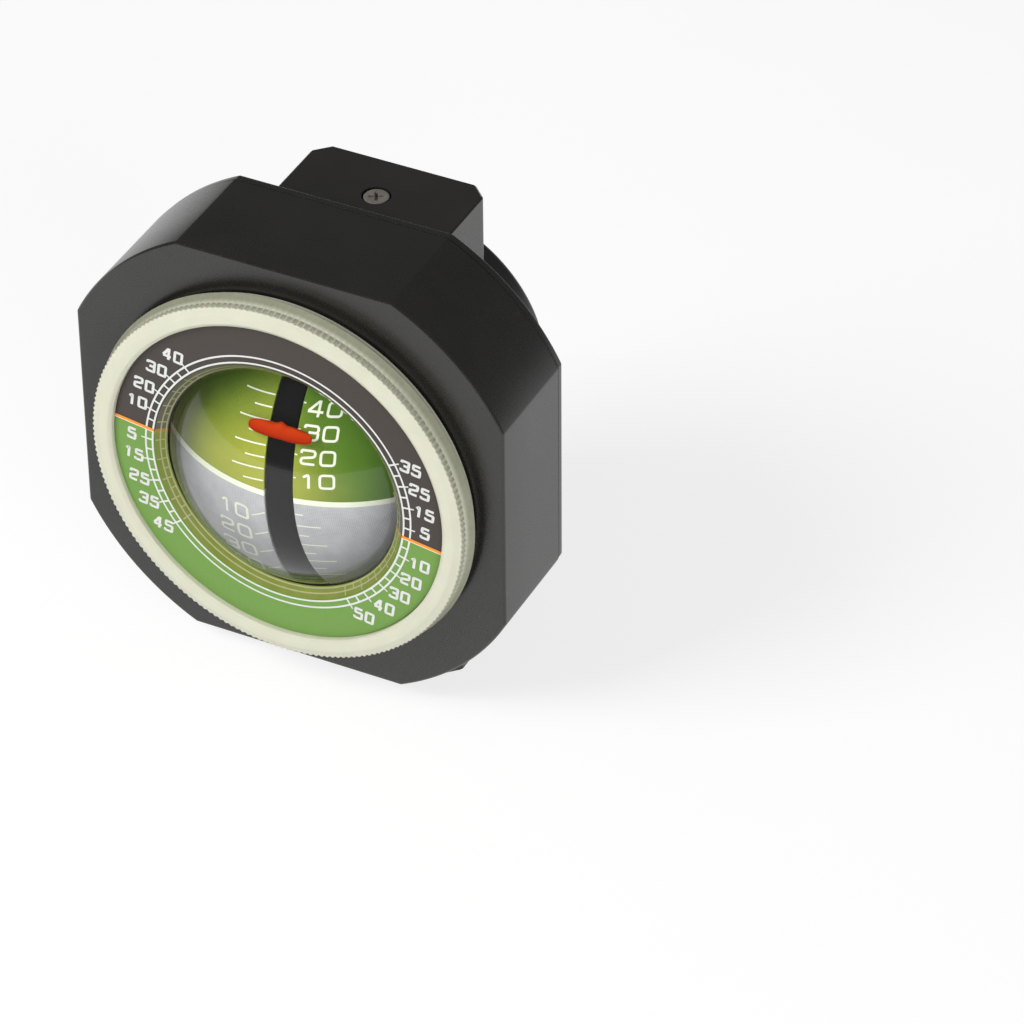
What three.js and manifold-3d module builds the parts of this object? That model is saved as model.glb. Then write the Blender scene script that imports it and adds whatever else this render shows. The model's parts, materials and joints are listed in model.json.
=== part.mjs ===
// A liquid-filled ball inclinometer for a vehicle, on its own tilting base.
// Millimetres, +Z up. The part's origin is the middle of the base plate's underside.
// The head is built in its own frame: its origin is where the dial's axis meets the housing's
// front face, X runs to the right, Y runs back along the dial's axis, and Z runs up.

import * as THREE from "three";
import { mergeVertices } from "three/addons/utils/BufferGeometryUtils.js";
import Module from "manifold-3d";

const wasm = await Module();
wasm.setup();

// Driving sizes, in millimetres. The ball comes first, and what surrounds it follows from it.

const ball = {
  radius: 19.6,
  wall: 1.2,
  centreDepth: 18.8, // its centre, behind the housing's front face
  slotWidth: 3.84,
  rearOpenDepth: 9.6, // the half balls are open this far in from their rearmost point
  webDepth: 3,
  bossRadius: 2.6,
  bossLength: 1.4,
};
const cup = {
  sideGap: 1.3, // round the ball
  rearGap: 0.5,
  wall: 1.4,
  rearWall: 1.4,
  rimHeight: 1.15, // its front rim stands this far before the housing's front face
  edgeRadius: 1.2,
  flangeWidth: 4.9,
  flangeGap: 0.3,
  flangeThickness: 1.8,
};
const housing = {
  flangeGap: 2.3, // from the cup's flange to the wall round it
  sideWall: 5.5, // its wall in the middle of a flat
  flatLength: 33.2,
  depth: 17.9,
  edgeRadius: 1.4,
  frontWall: 2.4,
};
const cover = {
  seamGap: 0.2, // between the shell and the rear cover
  insetWidth: 0.35,
  thickness: 1.3,
  lipGap: 0.4,
  lipWall: 1.2,
  lipHeight: 1.5,
};
const gasket = { thickness: 0.5 };
const dome = {
  rimWidth: 0.7, // from its round side out to the cup's inner wall
  height: 8,
  thickness: 1.3,
  flangeThickness: 0.8,
};
const retainer = {
  thickness: 0.5,
  lipWidth: 1.2,
  skirtWall: 2,
  skirtHeight: 0.8,
};
const dial = { thickness: 0.6, seatWidth: 1.1, gap: 0.35, edgeGap: 0.1 };
const bezel = {
  lipGap: 0.3,
  ledgeGap: 0.6,
  footGap: 0.35,
  faceHeight: 1.05, // its front stands this far before the dial
  innerSlopeWidth: 0.6,
  faceWidth: 1.4,
  outerSlopeWidth: 0.9,
  slopeHeight: 0.4,
  knurlHeight: 0.5,
  knurlDepth: 0.4,
  knurlLength: 0.974, // from one tooth to the next
  knurlWidth: 1.2,
  footWidth: 1.1,
  shownTurn: 8.2, // degrees that the dial is turned clockwise, seen from the front
};
const friction = { insetGap: 0.6, width: 1.8, thickness: 0.3 };
const caseScrew = {
  wallGap: 3.45, // from the housing's round cavity to the screw's axis
  headRadius: 1.9,
  headHeight: 1.1,
  shankRadius: 0.95,
  length: 9,
};
const cupScrew = {
  wallGap: 2.9, // from the cup's side to the screw's axis
  headRadius: 1.6,
  headHeight: 1.2,
  shankRadius: 0.8,
  length: 3.6,
};
const recess = { length: 2.3, width: 0.5, depth: 0.8, rimHeight: 0.25 }; // of a cross-head screw
const rollShaft = { radius: 1.2, seatShare: 0.7 }; // the share of the rear hub that it reaches into
const bush = { gap: 0.35, wall: 1.05, length: 2.75 };
const boss = { wall: 1.7, height: 3.3 }; // holds the roll bush, inside the cup's rear wall
const axle = { radius: 0.9, gap: 0.32 };
const pitchBush = { wall: 0.78 };
const frame = {
  plateThickness: 1.3,
  hubWall: 1.15,
  armWidth: 5,
  rearHubRadius: 3.3,
  rearHubLength: 3.6,
  bossGap: 0.6,
};
const clip = { width: 1, thickness: 0.5 };
const ballast = {
  gap: 0.35,
  thickness: 3.2,
  sideGap: 0.88, // from the half ball's flat wall
  length: 8,
  halfAngle: 38, // degrees each side of its middle
  trim: 19, // degrees that it sits behind the ball's lowest point, to balance the open back
};
const arm = {
  rimGap: 0.3,
  rimDepth: 1.7,
  sideGap: 0.3,
  webThickness: 1.3,
  hubWall: 1.78,
  spokeWidth: 5,
  halfArc: 115, // degrees each side of the pointer
};
const pointer = {
  length: 8.9,
  height: 2.05,
  depth: 1.3,
  gap: 0.3,
  tipShare: 0.62, // the tip's radius, as a share of half the height
  angle: 20.6, // degrees that it stands above the dial's axis
  bumpRadius: 0.75,
  bumpHeight: 0.4,
};
const ballPitch = 5.8; // degrees that the horizon stands below the dial's axis
const block = {
  width: 28.6,
  coverGap: 0.5,
  depth: 17.8,
  height: 8.3, // above the drum
  cornerWidth: 2.4,
  edgeWidth: 0.5,
  fitGap: 0.3,
};
const blockScrew = {
  headRadius: 1.93,
  headHeight: 1.2,
  shankRadius: 0.9,
  length: 6.8,
  sinkDepth: 0.15,
  bossRadius: 2.6,
  bossHeight: 4.7,
  bossGap: 0.3,
};
const plug = {
  radius: 2.4,
  headRadius: 3.1,
  headHeight: 0.8,
  centreHeight: 13.4, // above the dial's axis
  slotWidth: 0.8,
  bossLength: 1.6,
};
const lug = { width: 28.6, radius: 5.9 };
const hinge = { coverGap: 9.6, height: 6.3 }; // its axis, behind the rear cover and above the plate
const base = {
  depth: 29.6,
  hingeDepth: 6.1, // the hinge's axis, behind the plate's middle
  thickness: 2.7,
  sideWidth: 1.9, // of the plate, outside each ear
  cornerWidth: 2.3,
  edgeWidth: 0.4,
  headGap: 0.3, // between the plate and the housing above it
  earGap: 0.8,
  earThickness: 5.5,
  earRadius: 6,
};
const bolt = { radius: 1.5, headRadius: 2.75, headHeight: 3, keyWidth: 2.5, keyDepth: 1.5 };
const nut = { width: 5.5, thickness: 2.4 };
const washer = { radius: 5, thickness: 0.5, sideGap: 0.15 };
const clearance = 0.3; // between pieces that don't touch
const fitGap = 0.1; // round a pressed or screwed piece
const seatGap = 0.05; // between flat faces that are clamped together
const overrun = 1; // how far a cutting body runs past the face that it cuts

// Numbers of facets

const facets = { large: 52, medium: 36, small: 16, tiny: 12, arc: 6, long: 16, edge: 3, dome: 6, ball: 9 };

// Places worked out from the sizes above: first the radii, then the depths along the dial's axis

const cupInner = ball.radius + cup.sideGap;
const cupRadius = cupInner + cup.wall;
const flangeRadius = cupRadius + cup.flangeWidth;
const cavityRadius = flangeRadius + housing.flangeGap;
const half = cavityRadius + housing.sideWall;
const cornerRadius = Math.hypot(half, housing.flatLength / 2);
const openingRadius = cupRadius + clearance;
const collarRadius = openingRadius + retainer.skirtWall;
const retainerRadius = collarRadius + retainer.lipWidth;
const dialSeat = retainerRadius + clearance;
const dialRadius = dialSeat + dial.seatWidth;
const bezelInner = dialRadius + dial.edgeGap;
const faceInner = bezelInner + bezel.innerSlopeWidth;
const faceOuter = faceInner + bezel.faceWidth;
const shoulderRadius = faceOuter + bezel.outerSlopeWidth;
const domeBase = cupInner - dome.rimWidth;
const frictionInner = collarRadius + friction.insetGap;
const bushRadius = rollShaft.radius + bush.gap + bush.wall;
const bossRadius = bushRadius + fitGap + boss.wall;
const pitchBushRadius = axle.radius + axle.gap + pitchBush.wall;

const coverFront = housing.depth + cover.seamGap;
const coverBack = coverFront + cover.thickness;
const cupFloor = ball.centreDepth + ball.radius + cup.rearGap;
const cupBack = cupFloor + cup.rearWall;
const cupRim = -cup.rimHeight;
const flangeFace = housing.frontWall + cup.flangeGap;
const flangeEnd = flangeFace + cup.flangeThickness;
const gasketFront = cupRim - seatGap - gasket.thickness;
const domeFlangeBack = gasketFront - seatGap;
const domeFlangeFront = domeFlangeBack - dome.flangeThickness;
const retainerBack = domeFlangeFront - seatGap;
const retainerFront = retainerBack - retainer.thickness;
const collarTop = retainerBack + retainer.skirtHeight + seatGap;
const dialBack = retainerFront - dial.gap;
const dialFace = dialBack - dial.thickness;
const bezelFront = dialFace - bezel.faceHeight;
const shoulder = bezelFront + bezel.slopeHeight;
const knurlBack = shoulder + bezel.knurlWidth;
const domeRadius = (domeBase ** 2 + dome.height ** 2) / (2 * dome.height);
const domeCentre = domeRadius + dialFace - dome.height;
const ballRearCut = ball.radius - ball.rearOpenDepth;
const rearHubEnd = cupFloor - boss.height - frame.bossGap - ball.centreDepth;
const blockFront = coverBack + block.coverGap;
const blockBack = blockFront + block.depth;
const blockMiddle = (blockFront + blockBack) / 2;
const blockTop = cupRadius + block.height;

const hingeDepth = coverBack + hinge.coverGap;
const hingeDrop = half + base.headGap - hinge.height;
const tableDrop = half + base.headGap + base.thickness;
const baseMiddle = hingeDepth - base.hingeDepth;
const earInner = lug.width / 2 + base.earGap;
const earOuter = earInner + base.earThickness;
const degrees = Math.PI / 180;

// Helpers: every piece becomes one closed solid

const mm = (x, y, z) => new THREE.Vector3(x, y, z);

function toSolid(geometry) {
  const bare = geometry.index ? geometry.toNonIndexed() : geometry.clone();
  for (const name of Object.keys(bare.attributes)) {
    if (name !== "position") bare.deleteAttribute(name);
  }
  const merged = mergeVertices(bare, half * 1e-6);
  return new wasm.Manifold(
    new wasm.Mesh({
      numProp: 3,
      vertProperties: merged.attributes.position.array,
      triVerts: new Uint32Array(merged.index.array),
    }),
  );
}

function toGeometry(solid) {
  const made = solid.getMesh();
  const geometry = new THREE.BufferGeometry();
  geometry.setAttribute("position", new THREE.BufferAttribute(made.vertProperties, 3));
  geometry.setIndex(new THREE.BufferAttribute(made.triVerts, 1));
  const flat = geometry.toNonIndexed();
  flat.computeVertexNormals();
  return flat;
}

// Revolves a closed outline of [radius, y] points, listed counterclockwise, about the Y axis.
function revolve(outline, segments) {
  const points = outline.map(([r, y]) => new THREE.Vector2(r, y));
  const onAxis = points[0].x === 0 && points.at(-1).x === 0;
  if (!onAxis) points.push(points[0].clone());
  return toSolid(new THREE.LatheGeometry(points, segments));
}

// A ring about the Y axis.
function ring(inner, outer, front, back, segments) {
  return revolve([[inner, front], [outer, front], [outer, back], [inner, back]], segments);
}

// A round rod from one depth to another, about the Y axis.
function rodY(radius, front, back, segments) {
  const rod = new THREE.CylinderGeometry(radius, radius, back - front, segments);
  return toSolid(rod.translate(0, (front + back) / 2, 0));
}

function rodX(radius, left, right, segments) {
  const rod = new THREE.CylinderGeometry(radius, radius, right - left, segments);
  return toSolid(rod.rotateZ(Math.PI / 2).translate((left + right) / 2, 0, 0));
}

function rodZ(radius, low, high, segments) {
  const rod = new THREE.CylinderGeometry(radius, radius, high - low, segments);
  return toSolid(rod.rotateX(Math.PI / 2).translate(0, 0, (low + high) / 2));
}

// A box between two corners.
function cuboid(low, high) {
  const size = high.clone().sub(low);
  const middle = high.clone().add(low).multiplyScalar(1 / 2);
  const geometry = new THREE.BoxGeometry(size.x, size.y, size.z);
  return toSolid(geometry.translate(middle.x, middle.y, middle.z));
}

// Extrudes an outline in X and Z along Y, from front to back.
function prismY(shape, front, back, bevel = 0) {
  const geometry = new THREE.ExtrudeGeometry(shape, {
    depth: back - front - 2 * bevel,
    steps: 1,
    curveSegments: facets.arc,
    bevelEnabled: bevel > 0,
    bevelSize: bevel,
    bevelThickness: bevel,
    bevelOffset: -bevel,
    bevelSegments: facets.edge,
  });
  return toSolid(geometry.rotateX(Math.PI / 2).translate(0, back - bevel, 0));
}

// Extrudes an outline in X and Y up along Z.
function prismZ(shape, low, high, bevel = 0) {
  const geometry = new THREE.ExtrudeGeometry(shape, {
    depth: high - low - 2 * bevel,
    steps: 1,
    bevelEnabled: bevel > 0,
    bevelSize: bevel,
    bevelThickness: bevel,
    bevelOffset: -bevel,
    bevelSegments: 1,
  });
  return toSolid(geometry.translate(0, 0, low + bevel));
}

// Extrudes an outline in Y and Z to the right along X.
function prismX(shape, left, right, curveSegments = facets.arc) {
  const geometry = new THREE.ExtrudeGeometry(shape, {
    depth: right - left,
    steps: 1,
    curveSegments,
    bevelEnabled: false,
  });
  const turn = new THREE.Matrix4().makeBasis(mm(0, 1, 0), mm(0, 0, 1), mm(1, 0, 0));
  return toSolid(geometry.applyMatrix4(turn).translate(left, 0, 0));
}

const moved = (solid, x, y, z) => solid.translate([x, y, z]);

// Outlines

// The housing: a circle cut by four flats.
function housingOutline(inset) {
  const side = half - inset;
  const radius = cornerRadius - inset;
  const start = Math.acos(side / radius);
  const shape = new THREE.Shape();
  for (let quarter = 0; quarter < 4; quarter++) {
    const turn = (quarter * Math.PI) / 2;
    shape.absarc(0, 0, radius, turn + start, turn + Math.PI / 2 - start, false);
  }
  shape.closePath();
  return shape;
}

// A rectangle in plan, with its chosen corners cut off at 45 degrees.
function cutRectangle(left, right, front, back, frontCut, backCut) {
  const shape = new THREE.Shape();
  shape.moveTo(left + frontCut, front);
  shape.lineTo(right - frontCut, front);
  if (frontCut) shape.lineTo(right, front + frontCut);
  shape.lineTo(right, back - backCut);
  if (backCut) shape.lineTo(right - backCut, back);
  shape.lineTo(left + backCut, back);
  if (backCut) shape.lineTo(left, back - backCut);
  if (frontCut) shape.lineTo(left, front + frontCut);
  shape.closePath();
  return shape;
}

// A tongue in Y and Z that ends in a half circle: round = 1 at its top, -1 at its bottom.
function tongue(y, z, radius, end, round) {
  const shape = new THREE.Shape();
  shape.moveTo(y - round * radius, end);
  shape.lineTo(y + round * radius, end);
  const start = round > 0 ? 0 : Math.PI;
  shape.absarc(y, z, radius, start, start + Math.PI, false);
  shape.closePath();
  return shape;
}

function hexagon(acrossFlats) {
  const radius = acrossFlats / 2 / Math.cos(Math.PI / 6);
  const shape = new THREE.Shape();
  for (let corner = 0; corner < 6; corner++) {
    const angle = (corner * Math.PI) / 3;
    const [y, z] = [radius * Math.cos(angle), radius * Math.sin(angle)];
    if (corner) shape.lineTo(y, z);
    else shape.moveTo(y, z);
  }
  shape.closePath();
  return shape;
}

// The knurl's outline: a tooth tip and a root in turn.
function knurlOutline() {
  const tips = shoulderRadius + bezel.knurlHeight;
  const teeth = Math.round((2 * Math.PI * tips) / bezel.knurlLength);
  const shape = new THREE.Shape();
  const points = 2 * teeth;
  for (let i = 0; i < points; i++) {
    const radius = tips - (i % 2) * bezel.knurlDepth;
    const angle = (i / points) * 2 * Math.PI;
    const [x, z] = [radius * Math.cos(angle), radius * Math.sin(angle)];
    if (i) shape.lineTo(x, z);
    else shape.moveTo(x, z);
  }
  shape.closePath();
  return shape;
}

// Points of an arc in [radius, y], by its angle from the front pole of a sphere.
function sphereArc(radius, centre, from, to, steps) {
  return Array.from({ length: steps + 1 }, (_, i) => {
    const angle = from + ((to - from) * i) / steps;
    return [i === 0 && from === 0 ? 0 : radius * Math.sin(angle), centre - radius * Math.cos(angle)];
  });
}

// A countersunk screw along Y with its head at the back, its head's face at the given depth.
function countersunkScrew(size, face) {
  const coneBack = face - recess.rimHeight;
  const body = revolve(
    [
      [0, face - size.length],
      [size.shankRadius, face - size.length],
      [size.shankRadius, face - size.headHeight],
      [size.headRadius, coneBack],
      [size.headRadius, face],
      [0, face],
    ],
    facets.small,
  );
  return body.subtract(crossCut(face));
}

// The cross recess of a screw, cut into a face that looks along +Y.
function crossCut(face) {
  const reach = recess.length / 2;
  const wide = recess.width / 2;
  const floor = face - recess.depth;
  const across = cuboid(mm(-reach, floor, -wide), mm(reach, face + overrun, wide));
  const upright = cuboid(mm(-wide, floor, -reach), mm(wide, face + overrun, reach));
  return across.add(upright);
}

// Materials

const finish = (color, roughness, metalness = 0, more = {}) =>
  new THREE.MeshStandardMaterial({ color, roughness, metalness, ...more });
const materials = {
  housing: finish(0x2e2d2b, 0.55),
  bezel: finish(0xdcdccd, 0.5),
  dial: finish(0x7aa653, 0.45),
  clear: finish(0xe8f0ea, 0.05, 0, { transparent: true, opacity: 0.3 }),
  card: finish(0xa3a1a6, 0.5),
  black: finish(0x121212, 0.5),
  orange: finish(0xd8480a, 0.45),
  steel: finish(0x8a8782, 0.35, 1),
  brass: finish(0xb08d4a, 0.35, 1),
  lead: finish(0x6c6e72, 0.6, 1),
  rubber: finish(0x1a1a1a, 0.8),
};

function piece(name, solid, material) {
  const mesh = new THREE.Mesh(toGeometry(solid), material);
  mesh.name = name;
  return mesh;
}

// Housing

const screwReach = (cavityRadius + caseScrew.wallGap) / Math.SQRT2;
const caseScrewPlaces = [
  [screwReach, screwReach],
  [-screwReach, screwReach],
  [-screwReach, -screwReach],
  [screwReach, -screwReach],
];
const cupScrewAngles = [30, 150, 270].map((angle) => angle * degrees);
const cupScrewPlaces = cupScrewAngles.map((angle) => [
  (cupRadius + cupScrew.wallGap) * Math.cos(angle),
  (cupRadius + cupScrew.wallGap) * Math.sin(angle),
]);

function housingShell() {
  const bevel = housing.edgeRadius;
  const rounded = prismY(housingOutline(0), 0, housing.depth + 2 * bevel, bevel);
  const behind = cuboid(
    mm(-2 * half, housing.depth, -2 * half),
    mm(2 * half, housing.depth + half, 2 * half),
  );
  let shell = rounded.subtract(behind);
  shell = shell.add(rodY(collarRadius, collarTop, housing.frontWall, facets.large));
  shell = shell.subtract(rodY(openingRadius, collarTop - overrun, housing.depth, facets.large));
  const cavityBack = housing.depth + overrun;
  shell = shell.subtract(rodY(cavityRadius, housing.frontWall, cavityBack, facets.large));
  for (const [x, z] of caseScrewPlaces) {
    const hole = rodY(
      caseScrew.shankRadius + clearance,
      coverBack - caseScrew.length - clearance,
      cavityBack,
      facets.tiny,
    );
    shell = shell.subtract(moved(hole, x, 0, z));
  }
  for (const [x, z] of cupScrewPlaces) {
    const seat = cup.flangeGap + cup.flangeThickness;
    const tip = housing.frontWall + seat - cupScrew.length - clearance;
    const hole = rodY(cupScrew.shankRadius + clearance, tip, cavityBack, facets.tiny);
    shell = shell.subtract(moved(hole, x, 0, z));
  }
  return shell;
}

function rearCover() {
  let plate = prismY(housingOutline(cover.insetWidth), coverFront, coverBack);
  const lipBack = coverFront + cover.thickness / 2;
  const lipRadius = cavityRadius - cover.lipGap;
  const lipInner = lipRadius - cover.lipWall;
  plate = plate.add(
    ring(lipInner, lipRadius, coverFront - cover.lipHeight, lipBack, facets.large),
  );
  plate = plate.subtract(
    rodY(openingRadius, coverFront - overrun, coverBack + overrun, facets.large),
  );
  for (const [x, z] of caseScrewPlaces) {
    plate = plate.subtract(moved(countersink(caseScrew, coverBack), x, 0, z));
  }
  return plate;
}

// The hole for a countersunk screw whose head's face is flush with a face that looks along +Y.
function countersink(size, face) {
  const rim = size.headRadius + clearance;
  const bore = size.shankRadius + clearance;
  return revolve(
    [
      [0, face - size.length - overrun],
      [bore, face - size.length - overrun],
      [bore, face - size.headHeight - clearance],
      [rim, face - recess.rimHeight - clearance],
      [rim, face + overrun],
      [0, face + overrun],
    ],
    facets.small,
  );
}

// Liquid cup

function capsuleCup() {
  const round = cup.edgeRadius;
  const roundArc = Array.from({ length: facets.edge + 1 }, (_, i) => {
    const angle = (i / facets.edge) * (Math.PI / 2);
    const inset = cupRadius - round;
    return [inset + round * Math.cos(angle), cupBack - round + round * Math.sin(angle)];
  });
  const outer = revolve(
    [
      [0, cupRim],
      [cupRadius, cupRim],
      [cupRadius, flangeFace],
      [flangeRadius, flangeFace],
      [flangeRadius, flangeEnd],
      [cupRadius, flangeEnd],
      ...roundArc,
      [0, cupBack],
    ],
    facets.large,
  );
  const lugShape = tongue(hingeDepth, -hingeDrop, lug.radius, -cupRadius / 2, -1);
  const lugBody = prismX(lugShape, -lug.width / 2, lug.width / 2);
  const screwBoss = rodZ(blockScrew.bossRadius, cupInner, cupRadius + blockScrew.bossHeight, facets.small);
  let body = outer.add(lugBody).add(moved(screwBoss, 0, blockMiddle, 0));
  body = body.subtract(rodY(cupInner, cupRim - overrun, cupFloor, facets.large));
  body = body.add(rodY(bossRadius, cupFloor - boss.height, cupBack - round, facets.small));
  body = body.subtract(
    rodY(bushRadius + fitGap, cupFloor - boss.height - overrun, cupFloor, facets.small),
  );
  const plugBoss = rodY(plug.headRadius, cupFloor - plug.bossLength, cupBack - round, facets.small);
  body = body.add(moved(plugBoss, 0, 0, plug.centreHeight));
  const plugHole = rodY(
    plug.radius + fitGap,
    cupFloor - plug.bossLength - overrun,
    cupBack + overrun,
    facets.small,
  );
  body = body.subtract(moved(plugHole, 0, 0, plug.centreHeight));
  const pinHole = rodX(bolt.radius + clearance, -lug.width, lug.width, facets.small);
  body = body.subtract(moved(pinHole, 0, hingeDepth, -hingeDrop));
  const screwHole = rodZ(
    blockScrew.shankRadius + clearance,
    cupRadius + clearance,
    cupRadius + blockScrew.bossHeight + overrun,
    facets.small,
  );
  body = body.subtract(moved(screwHole, 0, blockMiddle, 0));
  for (const [x, z] of cupScrewPlaces) {
    const bore = cupScrew.shankRadius + clearance;
    const hole = rodY(bore, flangeFace - overrun, flangeEnd + overrun, facets.tiny);
    body = body.subtract(moved(hole, x, 0, z));
  }
  return body;
}

function cupScrewBody() {
  const seat = housing.frontWall + cup.flangeGap + cup.flangeThickness;
  const face = seat + cupScrew.headHeight;
  const body = revolve(
    [
      [0, seat - cupScrew.length],
      [cupScrew.shankRadius, seat - cupScrew.length],
      [cupScrew.shankRadius, seat],
      [cupScrew.headRadius, seat],
      [cupScrew.headRadius, face],
      [0, face],
    ],
    facets.tiny,
  );
  return body.subtract(crossCut(face));
}

function fillPlug() {
  const tip = cupFloor - plug.bossLength;
  const face = cupBack + plug.headHeight;
  const body = revolve(
    [
      [0, tip],
      [plug.radius, tip],
      [plug.radius, cupBack],
      [plug.headRadius, cupBack],
      [plug.headRadius, face],
      [0, face],
    ],
    facets.small,
  );
  const wide = plug.slotWidth / 2;
  const reach = plug.headRadius + overrun;
  const floor = face - plug.headHeight / 2;
  return body.subtract(cuboid(mm(-reach, floor, -wide), mm(reach, face + overrun, wide)));
}

// Dome, gasket and retainer

function domeWindow() {
  const outerHalf = Math.asin(domeBase / domeRadius);
  const inner = domeRadius - dome.thickness;
  const innerHalf = Math.acos((domeCentre - dialFace) / inner);
  const outerArc = sphereArc(domeRadius, domeCentre, 0, outerHalf, facets.dome);
  const innerArc = sphereArc(inner, domeCentre, 0, innerHalf, facets.dome);
  const innerBase = innerArc.at(-1)[0];
  return revolve(
    [
      ...outerArc,
      [domeBase, domeFlangeFront],
      [cupRadius, domeFlangeFront],
      [cupRadius, domeFlangeBack],
      [innerBase, domeFlangeBack],
      ...innerArc.reverse(),
    ],
    facets.medium,
  );
}

const domeGasket = () =>
  ring(cupInner, cupRadius, gasketFront, gasketFront + gasket.thickness, facets.medium);

function domeRetainer() {
  const inner = domeBase + clearance;
  return revolve(
    [
      [inner, retainerFront],
      [retainerRadius, retainerFront],
      [retainerRadius, retainerBack],
      [collarRadius, retainerBack],
      [collarRadius, collarTop - seatGap],
      [openingRadius, collarTop - seatGap],
      [openingRadius, retainerBack],
      [inner, retainerBack],
    ],
    facets.large,
  );
}

// Bezel and dial

function bezelRing() {
  const lipRadius = collarRadius + bezel.lipGap;
  const ledgeFront = retainerBack + clearance;
  const body = revolve(
    [
      [lipRadius, -bezel.ledgeGap],
      [lipRadius, ledgeFront],
      [dialSeat, ledgeFront],
      [dialSeat, dialBack],
      [bezelInner, dialBack],
      [bezelInner, shoulder],
      [faceInner, bezelFront],
      [faceOuter, bezelFront],
      [shoulderRadius, shoulder],
      [shoulderRadius, knurlBack],
      [shoulderRadius + bezel.footWidth, -bezel.footGap],
      [bezelInner, -bezel.footGap],
      [bezelInner, -bezel.ledgeGap],
    ],
    facets.large,
  );
  const bandInner = (bezelInner + shoulderRadius) / 2;
  const band = prismY(knurlOutline(), shoulder, knurlBack);
  const bore = rodY(bandInner, bezelFront, 0, facets.large);
  return body.add(band.subtract(bore));
}

const dialRing = () => ring(domeBase + clearance, dialRadius, dialFace, dialBack, facets.large);

const frictionRing = () =>
  ring(frictionInner, frictionInner + friction.width, -friction.thickness, 0, facets.medium);

// Ball works, built about the ball's centre

const slotHalf = ball.slotWidth / 2;
const plateLeft = arm.sideGap - slotHalf;
const plateRight = plateLeft + frame.plateThickness;

function halfBall(side) {
  const cut = Math.acos(-ballRearCut / ball.radius);
  const innerRadius = ball.radius - ball.wall;
  const innerCut = Math.acos(-ballRearCut / innerRadius);
  const outer = revolve(
    [...sphereArc(ball.radius, 0, 0, cut, facets.ball), [0, ballRearCut]],
    facets.medium,
  );
  const inner = revolve(
    [...sphereArc(innerRadius, 0, 0, innerCut, facets.ball), [0, ballRearCut]],
    facets.medium,
  );
  const wallEnd = slotHalf + ball.wall;
  const far = 2 * ball.radius;
  const outside = cuboid(mm(slotHalf, -far, -far), mm(far, far, far));
  const inside = cuboid(mm(wallEnd, -far, -far), mm(far, far, far));
  const behindWeb = cuboid(mm(0, ball.webDepth, -far), mm(far, far, far));
  let body = outer.intersect(outside).subtract(inner.intersect(inside));
  body = body.subtract(inner.intersect(behindWeb));
  body = body.add(rodX(ball.bossRadius, wallEnd - ball.wall / 2, wallEnd + ball.bossLength, facets.tiny));
  body = body.subtract(rodX(axle.radius + axle.gap, 0, far, facets.tiny));
  return side > 0 ? body : body.mirror([1, 0, 0]);
}

// A weight that lies in the bottom of one half ball, beside the slot.
function ballastWeight(side) {
  const outerRadius = ball.radius - ball.wall - ballast.gap;
  const left = slotHalf + ball.wall + ballast.sideGap;
  const right = left + ballast.length;
  const reach = Math.sqrt(outerRadius ** 2 - right ** 2);
  const shape = new THREE.Shape();
  const from = (ballast.trim - ballast.halfAngle) * degrees - Math.PI / 2;
  const to = (ballast.trim + ballast.halfAngle) * degrees - Math.PI / 2;
  shape.absarc(0, 0, reach, from, to, false);
  shape.absarc(0, 0, reach - ballast.thickness, to, from, true);
  shape.closePath();
  const body = prismX(shape, left, right);
  return side > 0 ? body : body.mirror([1, 0, 0]);
}

const clipLeft = slotHalf + ball.wall + ball.bossLength + clearance;
const axleReach = clipLeft + clip.thickness;

const pitchAxle = () => rodX(axle.radius, -axleReach, axleReach, facets.tiny);

function axleClip(side) {
  const bore = axle.radius + seatGap;
  const disc = rodX(axle.radius + clip.width, clipLeft, axleReach, facets.tiny);
  const body = disc.subtract(rodX(bore, 0, 2 * axleReach, facets.tiny));
  return side > 0 ? body : body.mirror([1, 0, 0]);
}

function rollFrame() {
  const rearHubStart = rearHubEnd - frame.rearHubLength;
  const rearHubMiddle = rearHubEnd - frame.rearHubLength / 2;
  const wide = frame.armWidth / 2;
  const plate = rodX(pitchBushRadius + seatGap + frame.hubWall, plateLeft, plateRight, facets.small)
    .add(cuboid(mm(plateLeft, 0, -wide), mm(plateRight, rearHubMiddle, wide)))
    .add(rodY(frame.rearHubRadius, rearHubStart, rearHubEnd, facets.small));
  const bore = rodX(pitchBushRadius + seatGap, -ball.slotWidth, ball.slotWidth, facets.small);
  const shaftFront = rearHubEnd - frame.rearHubLength * rollShaft.seatShare;
  const shaftBore = rodY(rollShaft.radius + seatGap, shaftFront, rearHubEnd + overrun, facets.small);
  return plate.subtract(bore).subtract(shaftBore);
}

function pitchBushBody() {
  const body = rodX(pitchBushRadius, plateLeft, plateRight, facets.small);
  return body.subtract(rodX(axle.radius + axle.gap, -ball.slotWidth, ball.slotWidth, facets.tiny));
}

// The black rim that shows in the slot, centred on the pointer's own direction, straight ahead.
function pointerArm() {
  const rimHalf = slotHalf - arm.sideGap;
  const rimRadius = ball.radius - arm.rimGap;
  const innerRadius = rimRadius - arm.rimDepth;
  const end = arm.halfArc * degrees;
  const shape = new THREE.Shape();
  shape.absarc(0, 0, rimRadius, Math.PI - end, Math.PI + end, false);
  shape.absarc(0, 0, innerRadius, Math.PI + end, Math.PI - end, true);
  shape.closePath();
  const webLeft = plateRight + arm.sideGap;
  const webRight = webLeft + arm.webThickness;
  const rim = prismX(shape, -rimHalf, rimHalf, facets.long);
  const armHub = axle.radius + axle.gap + arm.hubWall;
  const hub = rodX(armHub, webLeft, webRight, facets.small);
  const spokeEnd = (innerRadius + rimRadius) / 2;
  const wide = arm.spokeWidth / 2;
  const spoke = cuboid(mm(webLeft, -spokeEnd, -wide), mm(webRight, 0, wide));
  const bore = rodX(axle.radius + axle.gap, -ball.slotWidth, ball.slotWidth, facets.tiny);
  return rim.add(hub).add(spoke).subtract(bore);
}

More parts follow.
